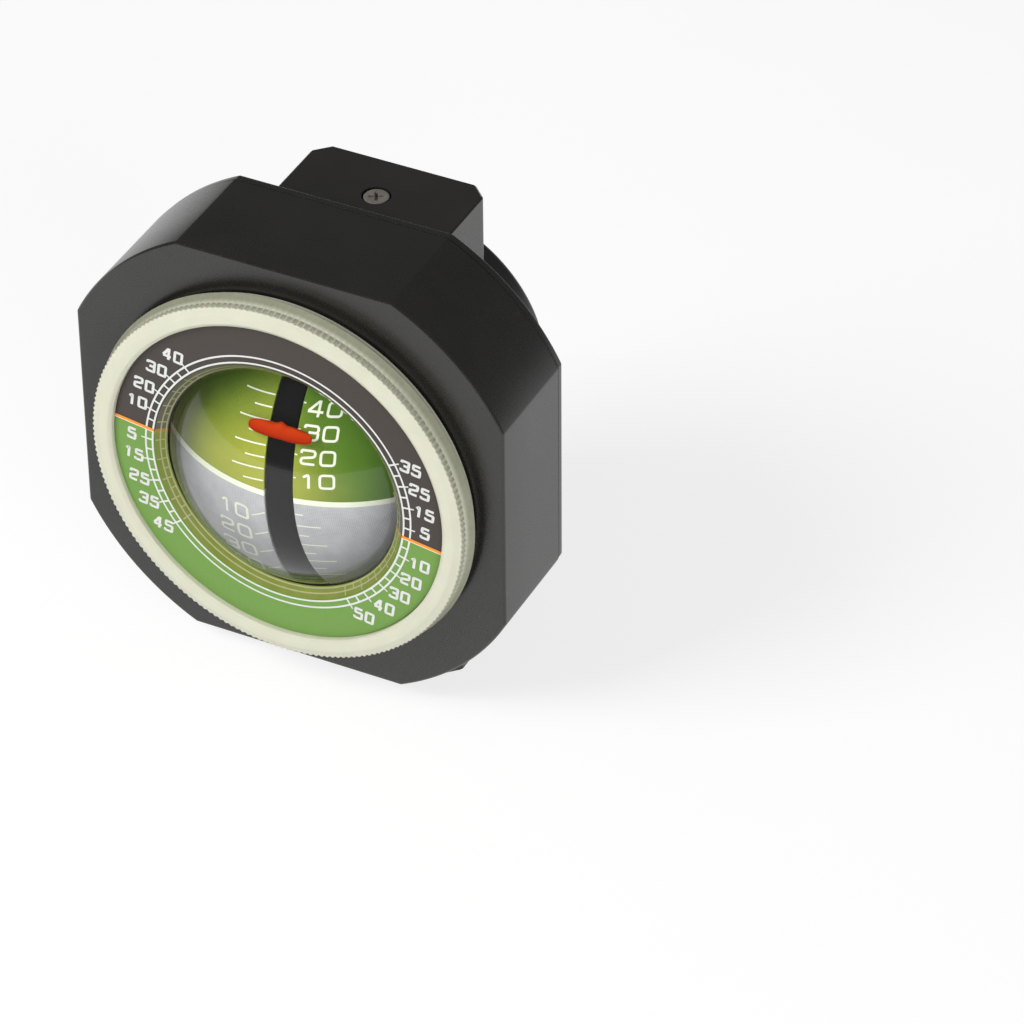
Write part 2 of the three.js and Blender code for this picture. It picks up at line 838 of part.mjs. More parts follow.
// The wing: a lens in X and Z with round tips, and a small bump at the top of its middle.
function pitchPointer() {
  const back = -(ball.radius + pointer.gap);
  const front = back - pointer.depth;
  const top = pointer.height / 2;
  const tip = top * pointer.tipShare;
  const reach = pointer.length / 2 - tip;
  const bumpMiddle = top + pointer.bumpHeight - pointer.bumpRadius;
  const start = Math.asin((top - bumpMiddle) / pointer.bumpRadius);
  const foot = pointer.bumpRadius * Math.cos(start);
  const shape = new THREE.Shape();
  shape.moveTo(reach, -tip);
  shape.absarc(reach, 0, tip, -Math.PI / 2, Math.PI / 2, false);
  shape.quadraticCurveTo(reach / 2, top, foot, top);
  shape.absarc(0, bumpMiddle, pointer.bumpRadius, start, Math.PI - start, false);
  shape.quadraticCurveTo(-reach / 2, top, -reach, tip);
  shape.absarc(-reach, 0, tip, Math.PI / 2, (3 * Math.PI) / 2, false);
  shape.quadraticCurveTo(0, tip - pointer.height, reach, -tip);
  const stemBack = arm.rimGap - ball.radius - seatGap;
  const stem = rodY(pointer.bumpRadius, (front + back) / 2, stemBack, facets.tiny);
  return prismY(shape, front, back).add(stem);
}

// Roll bearing, in the head's frame

function rollBush() {
  const back = cupFloor;
  return ring(rollShaft.radius + bush.gap, bushRadius, back - bush.length, back - seatGap, facets.small);
}

function rollShaftBody() {
  const front = ball.centreDepth + rearHubEnd - frame.rearHubLength * rollShaft.seatShare + seatGap;
  return rodY(rollShaft.radius, front, cupFloor - clearance, facets.small);
}

// Block on the cup and its screw

function upperBlock() {
  const side = block.width / 2;
  const plan = cutRectangle(-side, side, blockFront, blockBack, 0, block.cornerWidth);
  const tall = prismZ(plan, 0, blockTop, block.edgeWidth);
  const fit = cupRadius + block.fitGap;
  let body = tall.subtract(rodY(fit, 0, blockBack + overrun, facets.large));
  const bossFit = blockScrew.bossRadius + blockScrew.bossGap;
  const pocketTop = cupRadius + blockScrew.bossHeight + blockScrew.bossGap;
  body = body.subtract(moved(rodZ(bossFit, 0, pocketTop, facets.small), 0, blockMiddle, 0));
  const turned = countersink(blockScrew, 0).rotate([90, 0, 0]);
  return body.subtract(moved(turned, 0, blockMiddle, blockTop - blockScrew.sinkDepth));
}

function upperBlockScrew() {
  const turned = countersunkScrew(blockScrew, 0).rotate([90, 0, 0]);
  return moved(turned, 0, blockMiddle, blockTop - blockScrew.sinkDepth);
}

// Base, in the part's frame

const hingeY = hingeDepth - baseMiddle;
const hingeZ = tableDrop - hingeDrop;

function basePlate() {
  const side = earOuter + base.sideWidth;
  const front = -base.depth / 2;
  const plan = cutRectangle(-side, side, front, -front, base.cornerWidth, base.cornerWidth);
  let body = prismZ(plan, 0, base.thickness, base.edgeWidth);
  const ear = tongue(hingeY, hingeZ, base.earRadius, base.thickness / 2, 1);
  body = body.add(prismX(ear, earInner, earOuter)).add(prismX(ear, -earOuter, -earInner));
  const bore = rodX(bolt.radius + clearance, -2 * earOuter, 2 * earOuter, facets.small);
  body = body.subtract(moved(bore, 0, hingeY, hingeZ));
  const headRoom = bolt.headRadius + clearance;
  const seat = earOuter - bolt.headHeight - clearance;
  const head = rodX(headRoom, seat, earOuter + overrun, facets.small);
  body = body.subtract(moved(head, 0, hingeY, hingeZ));
  const pocket = prismX(
    hexagon(nut.width + 2 * clearance),
    -earOuter - overrun,
    nut.thickness + clearance - earOuter,
  );
  return body.subtract(moved(pocket, 0, hingeY, hingeZ));
}

function hingeBolt() {
  const seat = earOuter - bolt.headHeight;
  const body = rodX(bolt.radius, clearance - earOuter, seat + bolt.keyDepth / 3, facets.tiny)
    .add(rodX(bolt.headRadius, seat, earOuter, facets.small))
    .subtract(prismX(hexagon(bolt.keyWidth), earOuter - bolt.keyDepth, earOuter + overrun));
  return moved(body, 0, hingeY, hingeZ);
}

function hingeNut() {
  const left = -earOuter;
  const body = prismX(hexagon(nut.width), left, left + nut.thickness);
  const bore = rodX(bolt.radius + seatGap, left - overrun, 0, facets.tiny);
  return moved(body.subtract(bore), 0, hingeY, hingeZ);
}

function hingeWasher(side) {
  const left = lug.width / 2 + washer.sideGap;
  const disc = rodX(washer.radius, left, left + washer.thickness, facets.small);
  const body = disc.subtract(rodX(bolt.radius + clearance, 0, 2 * earOuter, facets.tiny));
  return moved(side > 0 ? body : body.mirror([1, 0, 0]), 0, hingeY, hingeZ);
}

// The assembly

const pitchGroup = new THREE.Group();
pitchGroup.rotation.x = ballPitch * degrees;
pitchGroup.add(
  piece("ball_left", halfBall(-1), materials.card),
  piece("ball_right", halfBall(1), materials.card),
  piece("ballast_left", ballastWeight(-1), materials.lead),
  piece("ballast_right", ballastWeight(1), materials.lead),
  piece("pitch_axle", pitchAxle(), materials.steel),
  piece("axle_clip_left", axleClip(-1), materials.steel),
  piece("axle_clip_right", axleClip(1), materials.steel),
);

const pointerGroup = new THREE.Group();
pointerGroup.rotation.x = -pointer.angle * degrees;
pointerGroup.add(
  piece("pointer_arm", pointerArm(), materials.black),
  piece("pitch_pointer", pitchPointer(), materials.orange),
);

const ballWorks = new THREE.Group();
ballWorks.position.y = ball.centreDepth;
ballWorks.add(
  pitchGroup,
  pointerGroup,
  piece("roll_frame", rollFrame(), materials.black),
  piece("pitch_bush", pitchBushBody(), materials.brass),
);

const bezelGroup = new THREE.Group();
bezelGroup.rotation.y = bezel.shownTurn * degrees;
bezelGroup.add(
  piece("bezel_ring", bezelRing(), materials.bezel),
  piece("dial_ring", dialRing(), materials.dial),
);

const head = new THREE.Group();
head.position.set(0, -baseMiddle, tableDrop);
head.add(
  piece("housing_shell", housingShell(), materials.housing),
  piece("rear_cover", rearCover(), materials.housing),
  piece("capsule_cup", capsuleCup(), materials.housing),
  piece("dome_window", domeWindow(), materials.clear),
  piece("dome_gasket", domeGasket(), materials.rubber),
  piece("dome_retainer", domeRetainer(), materials.black),
  piece("friction_ring", frictionRing(), materials.rubber),
  piece("fill_plug", moved(fillPlug(), 0, 0, plug.centreHeight), materials.steel),
  piece("roll_bush", rollBush(), materials.brass),
  piece("roll_shaft", rollShaftBody(), materials.steel),
  piece("upper_block", upperBlock(), materials.housing),
  piece("upper_block_screw", upperBlockScrew(), materials.steel),
  ballWorks,
  bezelGroup,
);
caseScrewPlaces.forEach(([x, z], i) => {
  const screw = moved(countersunkScrew(caseScrew, coverBack), x, 0, z);
  head.add(piece("case_screw_" + (i + 1), screw, materials.steel));
});
cupScrewPlaces.forEach(([x, z], i) => {
  head.add(piece("cup_screw_" + (i + 1), moved(cupScrewBody(), x, 0, z), materials.steel));
});

const inclinometer = new THREE.Group();
inclinometer.add(
  head,
  piece("base_plate", basePlate(), materials.housing),
  piece("hinge_bolt", hingeBolt(), materials.steel),
  piece("hinge_nut", hingeNut(), materials.steel),
  piece("hinge_washer_left", hingeWasher(-1), materials.rubber),
  piece("hinge_washer_right", hingeWasher(1), materials.rubber),
);

export default inclinometer;
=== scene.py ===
# %% [markdown]
# # A ball inclinometer
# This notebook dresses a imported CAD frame. The frame holds the true sizes and the joints, and each
# cell below makes one visible piece of the instrument around it. Every surface is computed as an
# array of points, in millimetres, in the head's own frame: the dial's axis is Y, the housing's
# front face is Y = 0, X runs to the right and Z runs up.

# %% Empty scene and frame
import json
import math

import bpy
import numpy as np
from mathutils import Matrix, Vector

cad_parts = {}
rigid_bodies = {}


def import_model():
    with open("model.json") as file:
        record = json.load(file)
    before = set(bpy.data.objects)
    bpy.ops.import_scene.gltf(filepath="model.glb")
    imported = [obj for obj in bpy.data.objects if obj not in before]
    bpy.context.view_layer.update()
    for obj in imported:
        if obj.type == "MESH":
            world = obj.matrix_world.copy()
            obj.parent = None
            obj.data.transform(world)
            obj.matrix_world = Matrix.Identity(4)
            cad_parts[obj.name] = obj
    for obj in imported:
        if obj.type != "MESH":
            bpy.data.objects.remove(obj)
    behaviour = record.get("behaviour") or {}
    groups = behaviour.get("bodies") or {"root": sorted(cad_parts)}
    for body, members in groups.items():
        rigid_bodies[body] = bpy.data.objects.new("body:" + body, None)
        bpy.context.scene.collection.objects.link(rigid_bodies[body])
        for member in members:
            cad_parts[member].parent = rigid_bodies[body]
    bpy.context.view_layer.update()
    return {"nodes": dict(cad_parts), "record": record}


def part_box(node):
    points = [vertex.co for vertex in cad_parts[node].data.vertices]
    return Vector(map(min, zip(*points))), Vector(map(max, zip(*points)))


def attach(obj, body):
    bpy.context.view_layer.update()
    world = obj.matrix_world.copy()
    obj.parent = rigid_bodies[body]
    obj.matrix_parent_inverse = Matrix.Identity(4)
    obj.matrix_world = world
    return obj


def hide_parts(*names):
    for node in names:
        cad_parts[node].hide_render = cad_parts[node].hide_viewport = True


for left_over in list(bpy.data.objects):
    bpy.data.objects.remove(left_over)

MM = 0.001
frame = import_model()
cad = frame["nodes"]
print("solids in the frame:", len(cad))

# %% [markdown]
# ## Measures of the frame
# The main sizes are read from the CAD solids and not typed again, so every piece fits the solid that
# it covers. The frame is loaded upright, at rest, and all pieces are made in that pose. The joints
# carry them from there.

# %% Measures
HOUSING_DEPTH = 17.9  # from the housing's front face to its back face
COVER_THICKNESS = 1.3
BALL_Y = 18.8  # depth of the ball's centre


def span(node):
    """Lowest and highest corner of a CAD node, in mm: box / 0.001."""
    return tuple(np.array(corner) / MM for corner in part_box(node))


shell_low, shell_high = span("housing_shell")
HEAD = (shell_low + shell_high) / 2
HEAD[1] = shell_high[1] - HOUSING_DEPTH


def head_span(node):
    """The same two corners in the head's own frame: span - HEAD."""
    return tuple(corner - HEAD for corner in span(node))


def depths(node):
    """Front and back of a CAD node along the dial's axis: the Y of its two corners."""
    low, high = head_span(node)
    return low[1], high[1]


def half_width(node):
    """Half the width of a CAD node in X: (highest - lowest) / 2."""
    low, high = span(node)
    return (high[0] - low[0]) / 2


HALF = half_width("housing_shell")
COLLAR_TOP = depths("housing_shell")[0]
COVER_BACK = depths("rear_cover")[1]
COVER_FRONT = COVER_BACK - COVER_THICKNESS
DIAL_FACE, DIAL_BACK = depths("dial_ring")
BEZEL_FRONT, BEZEL_FOOT = depths("bezel_ring")[0], half_width("bezel_ring")
DOME_POLE, DOME_BACK = depths("dome_window")
DRUM_BACK, DRUM_RADIUS = depths("capsule_cup")[1], half_width("dome_window")
print("head frame's origin, mm", HEAD.round(3), "housing half width", round(HALF, 3))

# %% [markdown]
# ## Building surfaces
# A moulded part is easiest to describe as a grid of points: an outline that is carried along a path,
# or a section that is turned about an axis. The grid's rows may meet in a seam or a pole, so equal
# points are joined into one afterwards and the surface has no gap.

# %% Grids without gaps
WELD = 1e-4  # mm: points closer than this are one point


def weld(points, quads):
    """Joins equal points. A quad with one repeated corner becomes a triangle, corners k+1, k+2, k+3. One
    with more repeats has no area and is left out."""
    keys = np.round(points / WELD).astype(np.int64)
    _, first, back = np.unique(keys, axis=0, return_index=True, return_inverse=True)
    quads = back.reshape(-1)[quads]
    same = quads == np.roll(quads, -1, axis=1)
    whole = quads[same.sum(1) == 0]
    single = quads[same.sum(1) == 1]
    repeated = same[same.sum(1) == 1].argmax(1)[:, None]
    triangles = np.take_along_axis(single, (repeated + [1, 2, 3]) % 4, 1)
    return points[first], whole, triangles


def grid(surface):
    """Quads of a (rows, columns, 3) array of points: corners (r, c), (r, c+1), (r+1, c+1), (r+1, c)."""
    rows, columns = surface.shape[:2]
    index = np.arange(rows * columns).reshape(rows, columns)
    corners = [index[:-1, :-1], index[:-1, 1:], index[1:, 1:], index[1:, :-1]]
    return surface.reshape(-1, 3), np.stack(corners, -1).reshape(-1, 4)


print("a grid of 4 x 5 points has", len(grid(np.zeros((4, 5, 3)))[1]), "quads")

# %% [markdown]
# ## From points to an object
# Blender needs a mesh with faces that point outwards. Whether they do can be told from the signed
# volume: where it is negative, the faces are inside out and are all turned round. Each object then
# rides a body of the frame, takes a material slot, and may replace the solid that it covers.

# %% Making a piece
def together(*parts):
    """One (points, quads) pair of several: each part's quads are shifted by the points before it."""
    starts = np.cumsum([0] + [len(points) for points, _ in parts[:-1]])
    quads = [part_quads + start for (_, part_quads), start in zip(parts, starts)]
    return np.concatenate([points for points, _ in parts]), np.concatenate(quads)


def volume(points, faces):
    """Signed volume of a closed surface: sum of a . (b x c) / 6 over its triangles."""
    a, b, c = (points[faces[:, i]] for i in (0, 1, 2))
    total = np.einsum("ij,ij->", a, np.cross(b, c))
    if faces.shape[1] == 4:
        total += np.einsum("ij,ij->", a, np.cross(c, points[faces[:, 3]]))
    return total / 6


def make_piece(name, part, body, replaced=(), smooth_angle=32, outward=True):
    """An object from (points, quads) in the head frame: place = (point + HEAD) * 0.001."""
    points, quads, triangles = weld(*part)
    centred = points - points.mean(0)
    if outward and volume(centred, quads) + (volume(centred, triangles) if len(triangles) else 0) < 0:
        quads, triangles = quads[:, ::-1], triangles[:, ::-1]
    mesh = bpy.data.meshes.new(name)
    mesh.from_pydata((points + HEAD) * MM, [], quads.tolist() + triangles.tolist())
    mesh.validate()
    mesh.shade_smooth()
    mesh.set_sharp_from_angle(angle=math.radians(smooth_angle))
    made = bpy.data.objects.new(name, mesh)
    bpy.context.scene.collection.objects.link(made)
    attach(made, body)
    if replaced:
        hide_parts(*replaced)
    print(name, "quads", len(quads), "triangles", len(triangles))
    return made


# %% [markdown]
# ## Finishes
# All finishes are procedural. Their texture coordinates are the object's own, taken to the middle of
# the piece, turned with it and scaled to millimetres, so noise with 5 features per mm has grains of
# 0.2 mm on the real part. Each of the short functions adds one node, so a finish reads like a formula.

# %% Coordinates and links
def start(name, centre=(0, 0, 0), turn=(0, 0, 0), **values):
    """A material and its own coordinates in mm: (object coordinate - centre), turned back, / 0.001."""
    material = bpy.data.materials.new(name)
    material.use_nodes = True
    tree = material.node_tree
    shader = tree.nodes["Principled BSDF"]
    for socket, value in values.items():
        shader.inputs[socket.replace("_", " ")].default_value = value
    coordinates = tree.nodes.new("ShaderNodeTexCoord")
    mapping = tree.nodes.new("ShaderNodeMapping")
    mapping.vector_type = "TEXTURE"
    mapping.inputs["Location"].default_value = (np.array(centre) + HEAD) * MM
    mapping.inputs["Rotation"].default_value = [math.radians(angle) for angle in turn]
    mapping.inputs["Scale"].default_value = (MM, MM, MM)
    tree.links.new(coordinates.outputs["Object"], mapping.inputs["Vector"])
    return material, tree, shader, mapping.outputs["Vector"]


def put(tree, socket, value):
    """Links an output to a socket, or writes a plain value into it."""
    if isinstance(value, bpy.types.NodeSocket):
        tree.links.new(value, socket)
    elif value is not None:
        socket.default_value = value


def colour(text, alpha=1.0):
    """Linear colour of an sRGB hex text: ((c + 0.055) / 1.055) ^ 2.4, or c / 12.92 when dark."""
    c = np.array([int(text[i : i + 2], 16) for i in (0, 2, 4)]) / 255
    linear = np.where(c <= 0.04045, c / 12.92, ((c + 0.055) / 1.055) ** 2.4)
    return (*linear.tolist(), alpha)


print("the sRGB grey 808080 as linear light:", round(colour("808080")[0], 3))

# %% [markdown]
# ## Nodes that every finish needs
# A finish is made of few kinds of nodes: sums, noise, a change of range and a mix of two colours. The
# functions below hide the sockets' numbers. Noise stands for everything on a real part that isn't
# quite even, such as the grain of a mould or the flow of its plastic.

# %% Nodes of a finish
def calc(tree, operation, a, b=None, c=None):
    """One Math node: operation(a, b, c)."""
    node = tree.nodes.new("ShaderNodeMath")
    node.operation = operation
    for socket, value in zip(node.inputs, (a, b, c)):
        put(tree, socket, value)
    return node.outputs[0]


def noise(tree, vector, scale, detail=3, roughness=0.5):
    """Noise with `scale` features per mm."""
    node = tree.nodes.new("ShaderNodeTexNoise")
    put(tree, node.inputs["Vector"], vector)
    for socket, value in (("Scale", scale), ("Detail", detail), ("Roughness", roughness)):
        node.inputs[socket].default_value = value
    return node.outputs["Fac"]


def spread(tree, value, low, high, to_low, to_high, smooth=False):
    """Maps low..high to to_low..to_high, clamped."""
    node = tree.nodes.new("ShaderNodeMapRange")
    node.interpolation_type = "SMOOTHSTEP" if smooth else "LINEAR"
    for index, item in enumerate((value, low, high, to_low, to_high)):
        put(tree, node.inputs[index], item)
    return node.outputs[0]


def mix(tree, factor, first, second):
    """Colour between two colours: first * (1 - factor) + second * factor."""
    node = tree.nodes.new("ShaderNodeMix")
    node.data_type = "RGBA"
    for index, item in ((0, factor), (6, first), (7, second)):
        put(tree, node.inputs[index], item)
    return node.outputs[2]


print("noise with 5 features per mm has grains of", 1 / 5, "mm")

# %% [markdown]
# ## Moulded black plastic
# The housing, the drum behind it, the block and the base are moulded in black plastic with a satin
# finish. On the photograph it has soft highlights with a fine grain in them. So the colour runs
# between two near blacks over a cloudy noise, and a fine noise works on gloss and relief. Each
# moulding has a gloss of its own.

# %% Moulded finishes
CLOUD_SCALE = 0.12  # clouds of 8 mm
GRAIN_HEIGHT = 0.02  # mm
CLOUD_RANGE, NOISE_RANGE = (0.35, 0.65), (0.3, 0.7)  # soft and fine noise lie mostly between these


def bump(tree, shader, height, strength, distance):
    """Surface relief: height in 0..1 stands for `distance` mm."""
    node = tree.nodes.new("ShaderNodeBump")
    node.inputs["Strength"].default_value = strength
    node.inputs["Distance"].default_value = distance * MM
    put(tree, node.inputs["Height"], height)
    put(tree, shader.inputs["Normal"], node.outputs["Normal"])


def grained(name, dark, light, rough, grain, relief, centre=(0, 0, 0), **values):
    """Moulded plastic or cast metal: colour = mix at (fine + cloud) / 2, roughness = rough +- 0.04 and
    relief over the fine noise."""
    material, tree, shader, place = start(name, centre, **values)
    cloud = noise(tree, place, CLOUD_SCALE, 4)
    fine = noise(tree, place, grain, 3, 0.6)
    both = calc(tree, "MULTIPLY_ADD", fine, 0.5, calc(tree, "MULTIPLY", cloud, 0.5))
    tone = mix(tree, spread(tree, both, *CLOUD_RANGE, 0, 1), colour(dark), colour(light))
    put(tree, shader.inputs["Base Color"], tone)
    put(tree, shader.inputs["Roughness"], spread(tree, fine, *NOISE_RANGE, rough - 0.04, rough + 0.04))
    bump(tree, shader, fine, relief, GRAIN_HEIGHT)
    return material


BALL_CENTRE = (0, BALL_Y, 0)
DRUM_MIDDLE, BLOCK_MIDDLE, BASE_MIDDLE = (0, 28, 0), (0, 28, 26), (0, 23, -34)
# dark and light tone, roughness, grains per mm, relief, middle of the piece
housing_plastic = grained("black_housing_plastic", "1a1918", "22211f", 0.27, 5, 0.2, IOR=1.6)
drum_plastic = grained("black_drum_plastic", "171616", "201f1e", 0.34, 5, 0.2, DRUM_MIDDLE, IOR=1.55)
block_plastic = grained("black_block_plastic", "201f1e", "292725", 0.3, 5, 0.2, BLOCK_MIDDLE, IOR=1.55)
base_plastic = grained("black_base_plastic", "1d1c1b", "252422", 0.3, 5, 0.2, BASE_MIDDLE, IOR=1.55)
works_plastic = grained("black_works_plastic", "0b0b0b", "121212", 0.45, 4, 0.01, BALL_CENTRE,
                        Specular_IOR_Level=0.08)
rubber = grained("black_rubber", "181818", "222222", 0.75, 3, 0.3)
moulded = (housing_plastic, drum_plastic, block_plastic, base_plastic, works_plastic, rubber)
print("moulded finishes:", ", ".join(finish.name for finish in moulded))

# %% [markdown]
# ## Metals
# Screws and axles are turned steel, the bushes are turned brass and the balance weights are cast. A
# turning tool leaves fine grooves, which noise gives when it is stretched along the tool's path. The
# screws are darkened steel, between metal and its oxide, so they are made half metallic.

# %% Metal finishes
GROOVE_STRETCH = (1.0, 1.0, 6.0)
GROOVE_HEIGHT = 0.01  # mm
STAIN_SHARE = 0.72  # a stained spot has this share of the metal's colour
BUSH_MIDDLE = (0, 30, 0)


def turned(name, base, rough, relief, centre=(0, 0, 0), metallic=1.0):
    """Turned metal: colour = mix(0.72 base, base) over stains, roughness and relief over the grooves."""
    material, tree, shader, place = start(name, centre, Metallic=metallic)
    long = tree.nodes.new("ShaderNodeMapping")
    long.inputs["Scale"].default_value = GROOVE_STRETCH
    tree.links.new(place, long.inputs["Vector"])
    grooves = noise(tree, long.outputs["Vector"], 2.5, 4, 0.6)
    stain = noise(tree, place, 0.6, 3)
    darker = tuple(STAIN_SHARE * c for c in colour(base)[:3]) + (1,)
    tone = mix(tree, spread(tree, stain, *NOISE_RANGE, 0, 1), darker, colour(base))
    put(tree, shader.inputs["Base Color"], tone)
    put(tree, shader.inputs["Roughness"], spread(tree, grooves, *NOISE_RANGE, rough - 0.06, rough + 0.08))
    bump(tree, shader, grooves, relief, GROOVE_HEIGHT)
    return material


dark_steel = turned("dark_steel", "a29b92", rough=0.38, relief=0.3, metallic=0.5)
brass = turned("turned_brass", "b08d4a", rough=0.3, relief=0.3, centre=BUSH_MIDDLE)
cast_lead = grained("cast_weight", "55575b", "6c6e72", 0.55, 1.5, 0.6, BALL_CENTRE, Metallic=1.0)
print("metal finishes:", ", ".join(finish.name for finish in (dark_steel, brass, cast_lead)))

# %% [markdown]
# ## Housing
# The housing is one injection moulding: a circle cut by four flats, with a softly rounded front edge
# and a round cavity behind. Its outline is described for any inward distance d: flats at half - d,
# arcs with the corner radius - d, and a small fillet where they meet. Carrying it along the section
# (front face, rounding, side, back face, cavity, opening, collar) gives one closed surface.

# %% Housing outline
FLAT_WIDTH = 34.8  # each of the four flats
CORNER_RADIUS = math.hypot(HALF, FLAT_WIDTH / 2)  # the arcs between the flats
CORNER_FILLET, LEAST_FILLET = 0.7, 0.12


def housing_outline(d, flat=24, bend=6, arc=28):
    """Closed outline at inward distance d. With f = fillet - d (at least 0.12), the fillet's centre is
    (half - d - f, sqrt((R - d - f)^2 - (half - d - f)^2)); its points are centre + f (cos n, sin n)."""
    f = max(CORNER_FILLET - d, LEAST_FILLET)
    x = HALF - d - f
    z = math.sqrt((CORNER_RADIUS - d - f) ** 2 - x**2)
    lean, square = math.atan2(z, x), np.pi / 2
    n = np.concatenate([np.zeros(flat), np.linspace(0, lean, bend), np.linspace(lean, square - lean, arc),
                        np.linspace(square - lean, square, bend)])
    centre = np.concatenate([np.stack([np.full(flat, x), np.linspace(-z, z, flat)], -1),
                             np.tile([x, z], (bend, 1)), np.zeros((arc, 2)), np.tile([z, x], (bend, 1))])
    radius = np.concatenate([np.full(flat + bend, f), np.full(arc, CORNER_RADIUS - d), np.full(bend, f)])
    quarter = centre + radius[:, None] * np.stack([np.cos(n), np.sin(n)], -1)
    c, s = np.cos(square * np.arange(4)), np.sin(square * np.arange(4))
    turns = np.stack([np.stack([c, s], -1), np.stack([-s, c], -1)], 1)
    ring = np.concatenate([quarter @ turn for turn in turns])
    return np.vstack([ring, ring[:1]])


def circle_at(outline, radius):
    """Points of a circle at the same angles as an outline's points: radius * p / |p|."""
    return radius * outline / np.linalg.norm(outline, axis=1)[:, None]


def at_depth(outline, y):
    """A row of the surface: (x, y, z) with the outline's two values as x and z."""
    return np.stack([outline[:, 0], np.full(len(outline), y), outline[:, 1]], -1)


print("points in the housing's outline:", len(housing_outline(0)), "corner radius", round(CORNER_RADIUS, 2))

# %% [markdown]
# ## The housing's section
# The rows run once round the wall's section and end where they began, so the surface is closed and
# has a real wall behind the bezel. Only the front edge is rounded with many rows, because it catches
# the light on the photograph; the back edge is hidden in the seam.

# %% Housing surface
EDGE_RADIUS, BACK_BREAK = 0.5, 0.12
OPENING_RADIUS = DRUM_RADIUS + 0.3
COLLAR_RADIUS = OPENING_RADIUS + 2
CAVITY_RADIUS = HALF - 5.5
FRONT_WALL = 2.4
MIDWAY = 9.0  # a row half way along the side


def edge_rows(radius, steps):
    """Rounded front edge: inset = e (1 - sin t), y = e (1 - cos t), with t from 0 to 90 degrees."""
    t = np.linspace(0, np.pi / 2, steps)
    return [at_depth(housing_outline(radius * (1 - math.sin(v))), radius * (1 - math.cos(v))) for v in t]


def wear(piece, material):
    """Gives a piece or a CAD node its finish, in every material slot that it has."""
    if not piece.data.materials:
        piece.data.materials.append(material)
    for index in range(len(piece.data.materials)):
        piece.data.materials[index] = material
    return piece


plan = housing_outline(EDGE_RADIUS)
cavity, opening, collar, under_bezel = (
    circle_at(plan, radius) for radius in (CAVITY_RADIUS, OPENING_RADIUS, COLLAR_RADIUS, BEZEL_FOOT))
rows = edge_rows(EDGE_RADIUS, 9)
rows += [at_depth(outline, y) for outline, y in (
    (housing_outline(0), MIDWAY), (housing_outline(0), HOUSING_DEPTH - BACK_BREAK),
    (housing_outline(BACK_BREAK), HOUSING_DEPTH), (cavity, HOUSING_DEPTH),
    (cavity, FRONT_WALL), (opening, FRONT_WALL), (opening, COLLAR_TOP), (collar, COLLAR_TOP),
    (collar, 0.0), (under_bezel, 0.0))]
rows.append(rows[0])
housing = make_piece("housing_surface", grid(np.array(rows)), "head", ["housing_shell"])
wear(housing, housing_plastic)

# %% [markdown]
# ## Rear cover
# The cover is a plate of the same outline, a little smaller, so that a narrow seam shows all round.
# Its back edge is rounded a little and its middle is bored for the drum. It is built as the housing
# is, by carrying the outline along a section, so seam and corners run parallel.

# %% Rear cover surface
COVER_INSET = 0.12  # the seam's depth
COVER_EDGE, COVER_BREAK = 0.35, 0.1
BORE_RADIUS, BORE_BREAK = DRUM_RADIUS + 0.3, 0.2
cover_plan = housing_outline(COVER_INSET)
bore, bore_lip = circle_at(cover_plan, BORE_RADIUS), circle_at(cover_plan, BORE_RADIUS + BORE_BREAK)
t = np.linspace(0, np.pi / 2, 6)
edge_insets = COVER_INSET + COVER_EDGE * (1 - np.cos(t))
edge_depths = COVER_BACK - COVER_EDGE * (1 - np.sin(t))
rows = [at_depth(housing_outline(COVER_INSET + COVER_BREAK), COVER_FRONT),
        at_depth(cover_plan, COVER_FRONT + COVER_BREAK)]
rows += [at_depth(housing_outline(d), y) for d, y in zip(edge_insets, edge_depths)]
rows += [at_depth(bore_lip, COVER_BACK), at_depth(bore, COVER_BACK - BORE_BREAK), at_depth(bore, COVER_FRONT)]
rows.append(rows[0])
cover = make_piece("rear_cover_surface", grid(np.array(rows)), "head", ["rear_cover"])
wear(cover, housing_plastic)

# %% [markdown]
# ## Drum
# Behind the cover stands the round liquid cup. A turned part is made from half of its section, which
# is swept round the axis. Here that is the cup's floor, the inside of the wall, the rim, the side, the
# rounded back edge and the back face. Corners are rounded by a curve that blends their two sides.

# %% Sections that are turned
SAME_POINT, FAR_OFF = 1e-5, 9  # mm: a point this close to the next is dropped, and the last never is


def soften(outline, radius, steps=4, closed=True):
    """Rounds corner b between a and c: (1-s)^2 p + 2 s (1-s) b + s^2 q, where p and q are points on the
    two sides at the distance radius / tan(half the corner's angle) from b."""
    b = np.asarray(outline, float)
    a, c = np.roll(b, 1, axis=0), np.roll(b, -1, axis=0)
    to_a, to_c = a - b, c - b
    length_a, length_c = (np.maximum(np.linalg.norm(v, axis=1), 1e-9) for v in (to_a, to_c))
    to_a, to_c = to_a / length_a[:, None], to_c / length_c[:, None]
    half = np.arccos(np.clip((to_a * to_c).sum(1), -1, 1)) / 2
    reach = np.minimum(np.asarray(radius) / np.tan(half), 0.49 * np.minimum(length_a, length_c))
    if not closed:
        reach[[0, -1]] = 0
    p, q = b + to_a * reach[:, None], b + to_c * reach[:, None]
    s = np.linspace(0, 1, steps + 1)[None, :, None]
    curve = (1 - s) ** 2 * p[:, None] + 2 * s * (1 - s) * b[:, None] + s**2 * q[:, None]
    curve = curve.reshape(-1, 2)
    step = np.linalg.norm(np.diff(curve, axis=0, append=curve[:1] + FAR_OFF), axis=1)
    return curve[step > SAME_POINT]


def lathe(outline, turns=128, close=True):
    """Turns [radius, y] points about Y: (r cos t, y, r sin t) with t from 0 to 360 degrees."""
    outline = np.asarray(outline, float)
    if close:
        outline = np.vstack([outline, outline[:1]])
    t = np.linspace(0, 2 * np.pi, turns + 1)
    r, y = outline[:, :1], outline[:, 1:]
    return grid(np.stack([r * np.cos(t), y + 0 * t, r * np.sin(t)], -1))


